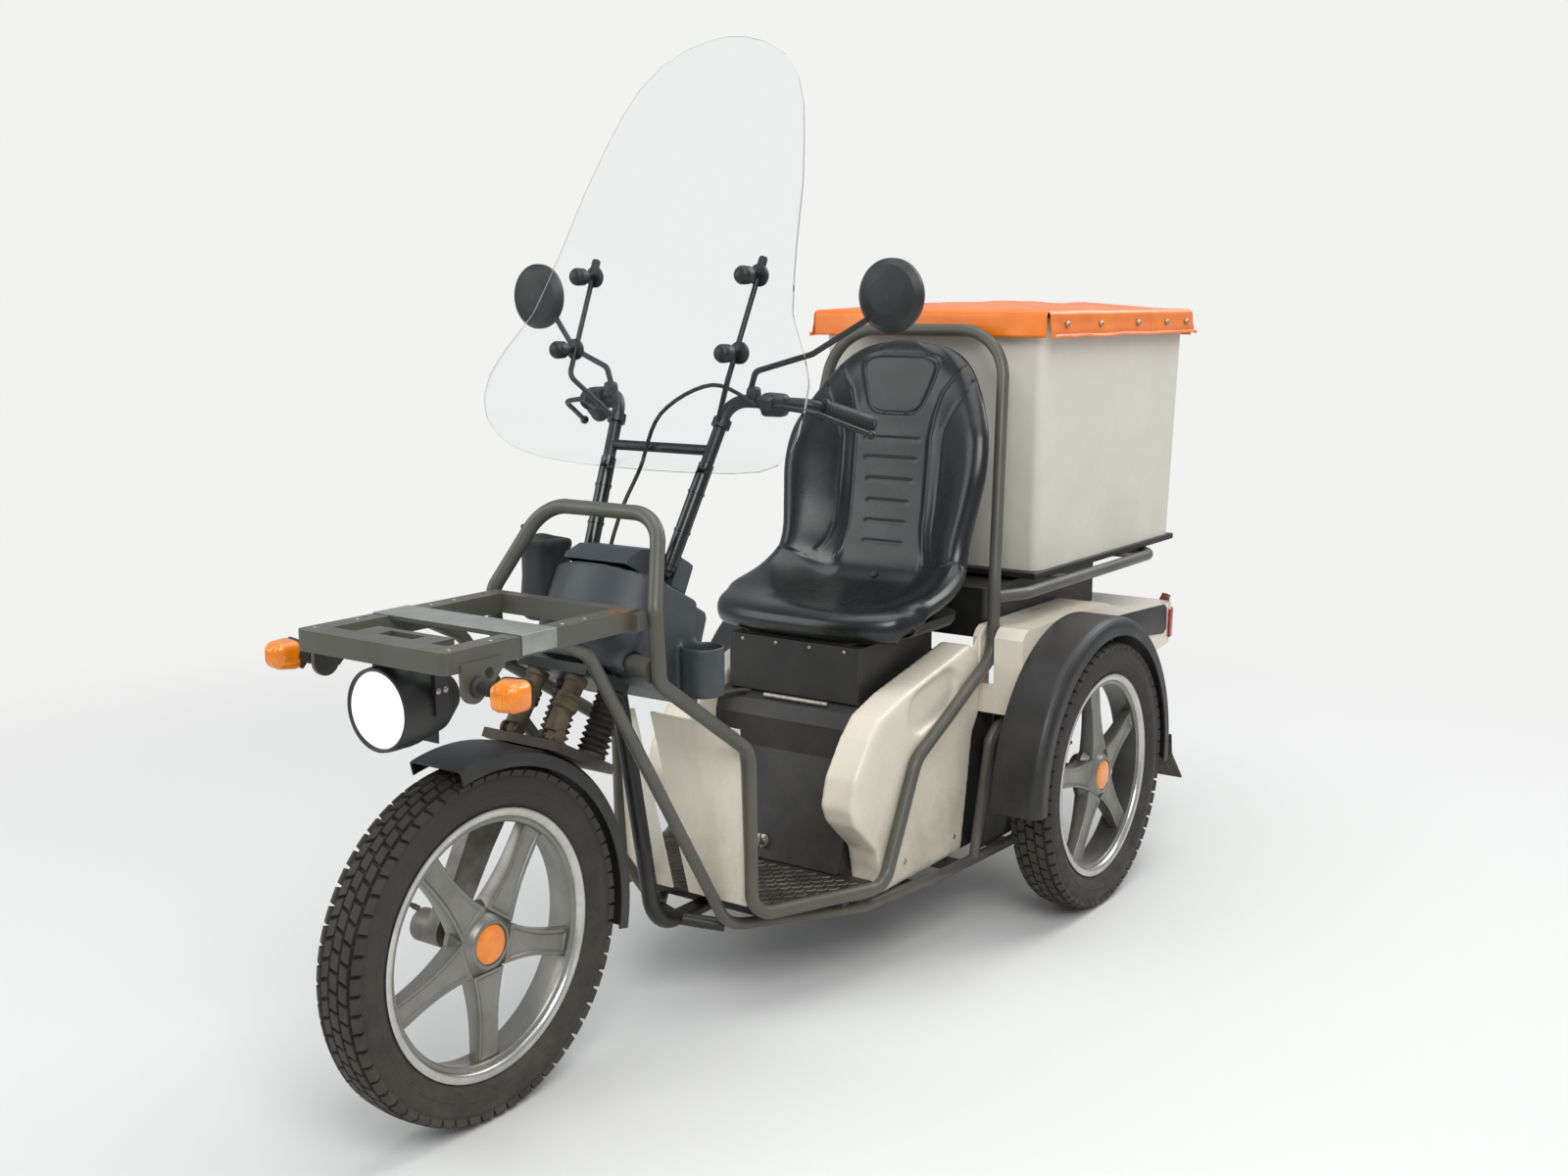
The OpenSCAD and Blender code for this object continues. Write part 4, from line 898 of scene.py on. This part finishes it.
# shrunk-on plastic sleeve: black and glossy
glossySleeve = makeFinish("glossySleeve", {
    "colour": "#101011", "second": "#171718", "patch": 60, "grain": 3, "grainDepth": 0.05,
    "rough": (0.16, 0.28), "shader": {"Coat Weight": 0.3, "Coat Roughness": 0.1}})


def screenX(z):
    # x of the sheet's rear face at a height
    return 985 - (z - 1170) * 0.443 - 4


for side, tag in bothSides:
    low, high = onBar(0, 0.03, side), onBar(0, 0.62, side)
    way = (high - low).normalized()
    long = (high - low).length * 1000
    profile = [(11.2, 0), (13, 0.6)]
    for at in (0.34, 0.72):
        profile += [(13.2, at * long - 4), (14.6, at * long - 3.4), (14.6, at * long + 1), (13.2, at * long + 1.6)]
    profile += [(13, long - 0.6), (11.2, long)]
    turnedPiece("barSleeve" + tag, profile, low, way, "steering", glossySleeve, steps=28)
    # grip with ribs and a closed end
    low, high = onBar(2, 0.2, side), onBar(2, 1.03, side)
    way = (high - low).normalized()
    long = (high - low).length * 1000
    profile = [(11.3, -1), (20, -1), (20, 4), (17, 6)]
    k = 9
    while k < long - 10:
        profile += [(17, k), (17.6, k + 1), (17.6, k + 3), (17, k + 4)]
        k += 5
    profile += [(18.5, long - 5), (18.5, long - 1.5), (16, long), (0, long)]
    turnedPiece("grip" + tag, profile, low, way, "steering", gripRubber, ["hand_controls"], steps=32)
    # switch housing, clamp and a flat lever with a ball end
    bm = bmesh.new()
    clampStart, clampEnd = onBar(1, 0.42, side), onBar(1, 0.74, side)
    along = clampEnd - clampStart
    roundBlock(bm, (44, 40, along.length * 1000), 9,
               facing((clampStart + clampEnd) / 2 + Vector((0.002, 0, -0.003)), along), 0.94)
    roundBlock(bm, (30, 26, 22), 6, facing(onBar(1, 0.58, side) + Vector((0.028, 0.002 * side, 0.0)), along), 0.9)
    roundBlock(bm, (26, 22, 26), 5, facing(onBar(1, 0.3, side) + Vector((0, 0, 0.012)), zAxis), 0.8)
    addPiece("switchHousing" + tag, bm, "steering", blackAbs, (), 45)
    lever = [onBar(1, 0.66, side) + Vector((0.03, 0.004 * side, -0.004)),
             onBar(2, 0.05, side) + Vector((0.034, 0.02 * side, -0.008)),
             onBar(2, 0.45, side) + Vector((0.028, 0.022 * side, -0.012)),
             onBar(2, 0.95, side) + Vector((0.02, 0.02 * side, -0.016))]
    addWire("lever" + tag, lever, 4.6, "steering", blackCoat)
    turnedPiece("leverBall" + tag, [(0, -8), (5, -6.5), (7.6, -2.5), (8, 0), (7.6, 2.5), (5, 6.5), (0, 8)],
                lever[-1], (lever[-1] - lever[-2]).normalized(), "steering", blackCoat, steps=20)
    # screen arm: rubber tip, round knobs in front of the sheet and washers behind it
    tip = mm(screenX(1340) - 16, 182 * side, 1340)
    way = (tip - mm(screenX(1140) - 16, 172 * side, 1140)).normalized()
    turnedPiece("armTip" + tag, [(4.6, -26), (7.5, -25), (7.5, -4), (6.5, -1), (0, 1)], tip, way, "steering",
                gaiterRubber, steps=20)
    bm = bmesh.new()
    for z in (1185, 1310):
        spot = mm(screenX(z), 179 * side, z)
        turnRound(bm, [(0, 13), (8, 13), (8, 17), (13.5, 17.5), (15.4, 21), (15.4, 28), (13, 33), (8, 36), (0, 37)],
                  spot, xAxis, 28)
        turnRound(bm, [(0, -24), (16, -24), (18.5, -22), (18.5, -17), (16, -15), (6, -14), (6, -6), (0, -6)],
                  spot, xAxis, 28)
    bmesh.ops.recalc_face_normals(bm, faces=bm.faces)
    addPiece("screenKnobs" + tag, bm, "steering", gripRubber)
    # mirror glass in its housing, looking back
    turnedPiece("mirrorGlass" + tag, [(0, 13.2), (40, 13), (54, 12.4), (56.5, 11.5), (0, 11)],
                mm(830, 387 * side, 1277), -xAxis, "steering", mirrorGlass, steps=48)
print("steering dressed")

# brake cable: one free length from the lever down to the top of the cowl
cableThick = 7
cableRoute = [onBar(1, 0.4, 1) + Vector((0.016, 0, -0.004)), mm(932, 105, 1130), mm(958, 15, 1080),
              mm(958, -32, 985), mm(986, -46, 925), mm(1016, -48, 866), mm(1020, -48, 846)]
cable = addWire("brakeCable", cableRoute, cableThick / 2, "steering", gaiterRubber)
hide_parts("brake_cable")

# fasteners
domeHeads("seatBaseRivets", [mm(543, y, 606) for y in (-120, -40, 40, 120)], xAxis, 4, "chassis", zincPlate)
for side, tag in bothSides:
    domeHeads("panelRivets" + tag, [mm(318, 242.2 * side, 201), mm(511, 242.2 * side, 203)], yAxis * side, 5.5,
              "chassis", zincPlate)
    domeHeads("coverStuds" + tag, [mm(x, 295 * side, 1221) for x in (-36, -203, -404, -570, -692)], yAxis * side, 7,
              "lid", zincPlate, 0.6)
    domeHeads("lampScrews" + tag, [mm(1518, 66 * side, 716), mm(1532, 66 * side, 716)], yAxis * side, 5, "chassis",
              zincPlate)
domeHeads("rackScrews", [mm(x, y, 794) for x in (1580, 1500, 1350, 1300) for y in (-140, 140)], zAxis, 4, "chassis",
          zincPlate, 0.3)

# battery latch: a small turn handle on the cover's sloping front
latchOut = Vector((0.947, 0, 0.322))
latchSpot = mm(629, -10, 229)
bm = bmesh.new()
latchKnob = [(0, 14), (6, 14), (6.5, 12), (6.5, 3), (13, 2), (13.5, 0), (13, -1), (0, -1)]
turnRound(bm, latchKnob, latchSpot, latchOut, 28)
bmesh.ops.recalc_face_normals(bm, faces=bm.faces)
roundBlock(bm, (9, 28, 8), 2.5, facing(latchSpot + latchOut * 0.016, latchOut))
addPiece("batteryLatch", bm, "chassis", zincPlate)
# seat slide: release lever on the right and the bar between the runners
addWire("seatLever", [mm(535, -104, 500), mm(552, -118, 501), mm(568, -142, 496), mm(574, -156, 494)], 5, "chassis",
        gaiterRubber)
addWire("seatSlideBar", [mm(549, -62, 500), mm(549, 10, 500), mm(549, 88, 500)], 5, "chassis", zincPlate)


def sidePlate(name, outline, y, thick, side, finish):
    # a flat plate on a side wall, its outline in x and z
    bm = bmesh.new()
    face = bm.faces.new([bm.verts.new(mm(x, y * side, z)) for x, z in outline])
    pushed = bmesh.ops.extrude_face_region(bm, geom=[face])["geom"]
    for v in pushed:
        if isinstance(v, bmesh.types.BMVert):
            v.co.y += thick * side / 1000
    bmesh.ops.recalc_face_normals(bm, faces=bm.faces)
    bmesh.ops.bevel(bm, geom=bm.edges[:], offset=0.0006, offset_type="OFFSET", affect="EDGES", segments=2,
                    profile=0.5, material=-1)
    return addPiece(name, bm, "chassis", finish)


# cloth pouch that hangs beside the column: full at its foot, drawn in under a folded rim
pouchSet = {"middle": (1065, -156), "half": (39, 42.5), "low": 723, "high": 871, "around": 72, "corner": 0.6,
            "slack": 0.05, "sag": 5}
# share of the height and of the width, from the foot over the rim and into the mouth
pouchLevels = [(0, 0.55), (0.01, 0.78), (0.05, 0.93), (0.14, 1), (0.3, 0.98), (0.5, 0.92), (0.7, 0.87),
               (0.84, 0.85), (0.88, 0.93), (0.93, 0.95), (0.97, 0.93), (1, 0.8), (0.97, 0.7), (0.9, 0.66)]
g = pouchSet
bm = bmesh.new()
rings = []
for up, wide in pouchLevels:
    ring = []
    for k in range(g["around"]):
        a = math.tau * k / g["around"]
        u, w = squareRound(a, g["corner"])
        tight = wide * (1 - g["slack"] * (1 - up) * (0.5 + 0.5 * math.sin(5 * a + 7 * up)))
        sag = g["sag"] * (0.5 + 0.5 * math.cos(2 * a + 0.8)) * blendIn(0.6, 1, up)
        ring.append(bm.verts.new(mm(g["middle"][0] + u * g["half"][0] * tight,
                                    g["middle"][1] + w * g["half"][1] * tight,
                                    g["low"] + (g["high"] - g["low"]) * up - sag)))
    rings.append(ring)
skinRings(bm, rings)
pouch = addPiece("pouch", bm, "chassis", nylonCloth, ["side_bag"], 70)
fine = pouch.modifiers.new("fine", "SUBSURF")
fine.levels = fine.render_levels = 1
turnedPiece("pouchPost", [(0, 126), (4, 126), (6, 124), (6, 1), (5, 0), (0, 0)], mm(1067, -205, 760),
            zAxis, "chassis", blackCoat, steps=24)

# dark inset and a small reflector on each side of the tail, and a crescent lens round its corner
lensSet = {"midX": -547, "midY": 274.7, "radius": 60.6, "low": 492, "high": 574}


def cornerBand(name, side, start, stop, lift, finish):
    # a strip round the tail's corner, from one angle to another, drawn in at its top and foot
    g = lensSet
    bm = bmesh.new()
    for v in bmesh.ops.create_grid(bm, x_segments=14, y_segments=14, size=1)["verts"]:
        up = (v.co.y + 1) / 2
        shrink = 0.72 + 0.28 * math.sin(math.pi * up)
        angle = math.radians(start + (stop - start) * (v.co.x + 1) / 2 * shrink)
        bulge = g["radius"] + lift * (1 - v.co.x ** 4) * (1 - v.co.y ** 4)
        v.co = mm(g["midX"] - bulge * math.sin(angle), (g["midY"] + bulge * math.cos(angle)) * side,
                  g["low"] + (g["high"] - g["low"]) * up)
    bmesh.ops.recalc_face_normals(bm, faces=bm.faces)
    made = addPiece(name, bm, "chassis", finish)
    wall = made.modifiers.new("wall", "SOLIDIFY")
    wall.thickness = 0.0015
    wall.offset = 0
    return made


# outlines in x and z: the tail's inset, the cheek behind the seat hoop's leg and the wall behind the side panel
insetLine = [(-205, 578), (-252, 530), (-330, 512), (-520, 492), (-536, 502), (-536, 552), (-520, 562), (-300, 574)]
cheekLine = [(302, 441), (168, 441), (168, 606), (186, 613), (214, 600), (300, 520)]
houseLine = [(316, 163), (130, 163), (130, 439), (224, 439)]
tailFace, innerFace = 334.6, 233
for side, tag in bothSides:
    sidePlate("tailInset" + tag, insetLine, tailFace, 2, side, blackAbs)
    domeHeads("tailReflector" + tag, [mm(-240, (tailFace + 1.8) * side, 567)], yAxis * side, 10, "chassis", redLens,
              0.3)
    cornerBand("tailRim" + tag, side, 4, 30, 1, creamPanel)
    cornerBand("tailLens" + tag, side, 28, 84, 4, redLens)
    sidePlate("hoopCheek" + tag, cheekLine, innerFace, 3, side, creamPanel)
    sidePlate("wheelHouse" + tag, houseLine, innerFace, 3, side, blackAbs)

# bare strip folded over the rack's rails
stripSet = {"x": 1417, "wide": 73, "long": 315, "thick": 1.6, "top": 795, "drop": 30}
g = stripSet
bm = bmesh.new()
roundBlock(bm, (g["wide"], g["long"], g["thick"]), 0.5, Matrix.Translation(mm(g["x"], 0, g["top"])))
for side in (1, -1):
    roundBlock(bm, (g["wide"], g["thick"], g["drop"]), 0.5,
               Matrix.Translation(mm(g["x"], 157 * side, g["top"] - 14.6)))
# bare rolled aluminium: pale and satin, with scuffs
stripFinish = makeFinish("bareAluminium", {
    "colour": "#a4a4a0", "second": "#8f8f8b", "patch": 40, "grain": 1.2, "grainDepth": 0.04,
    "rough": (0.32, 0.48), "chips": 26, "chipFrom": 0.7, "chipColour": "#6f6c64", "shader": {"Metallic": 0.6}})
addPiece("rackStrip", bm, "chassis", stripFinish)

# raised bars of the tread plate, turned this way and that; the plate narrows towards the front
treadSet = {"start": 656, "rows": 13, "reach": 14, "pitch": 15.5, "top": 196, "long": 17, "wide": 5.5, "tall": 2.2}
g = treadSet
bm = bmesh.new()
for i in range(g["rows"]):
    for k in range(-g["reach"], g["reach"] + 1):
        x, y = g["start"] + i * g["pitch"], k * g["pitch"]
        edge = 236.5 - (x - 650) * 94 / 210 - 9
        if abs(y) > edge:
            continue
        made = bmesh.ops.create_cube(bm, size=1)["verts"]
        for v in made:
            shorter, slimmer = (0.85, 0.55) if v.co.z > 0 else (1, 1)
            v.co = Vector((v.co.x * g["long"] * shorter, v.co.y * g["wide"] * slimmer,
                           v.co.z * g["tall"] + 0.9)) / 1000
        turn = Matrix.Rotation(math.radians(45 if (i + k) % 2 else -45), 4, "Z")
        bmesh.ops.transform(bm, matrix=Matrix.Translation(mm(x, y, g["top"])) @ turn, verts=made)
addPiece("treadBars", bm, "chassis", treadPlate)
print("trim added")
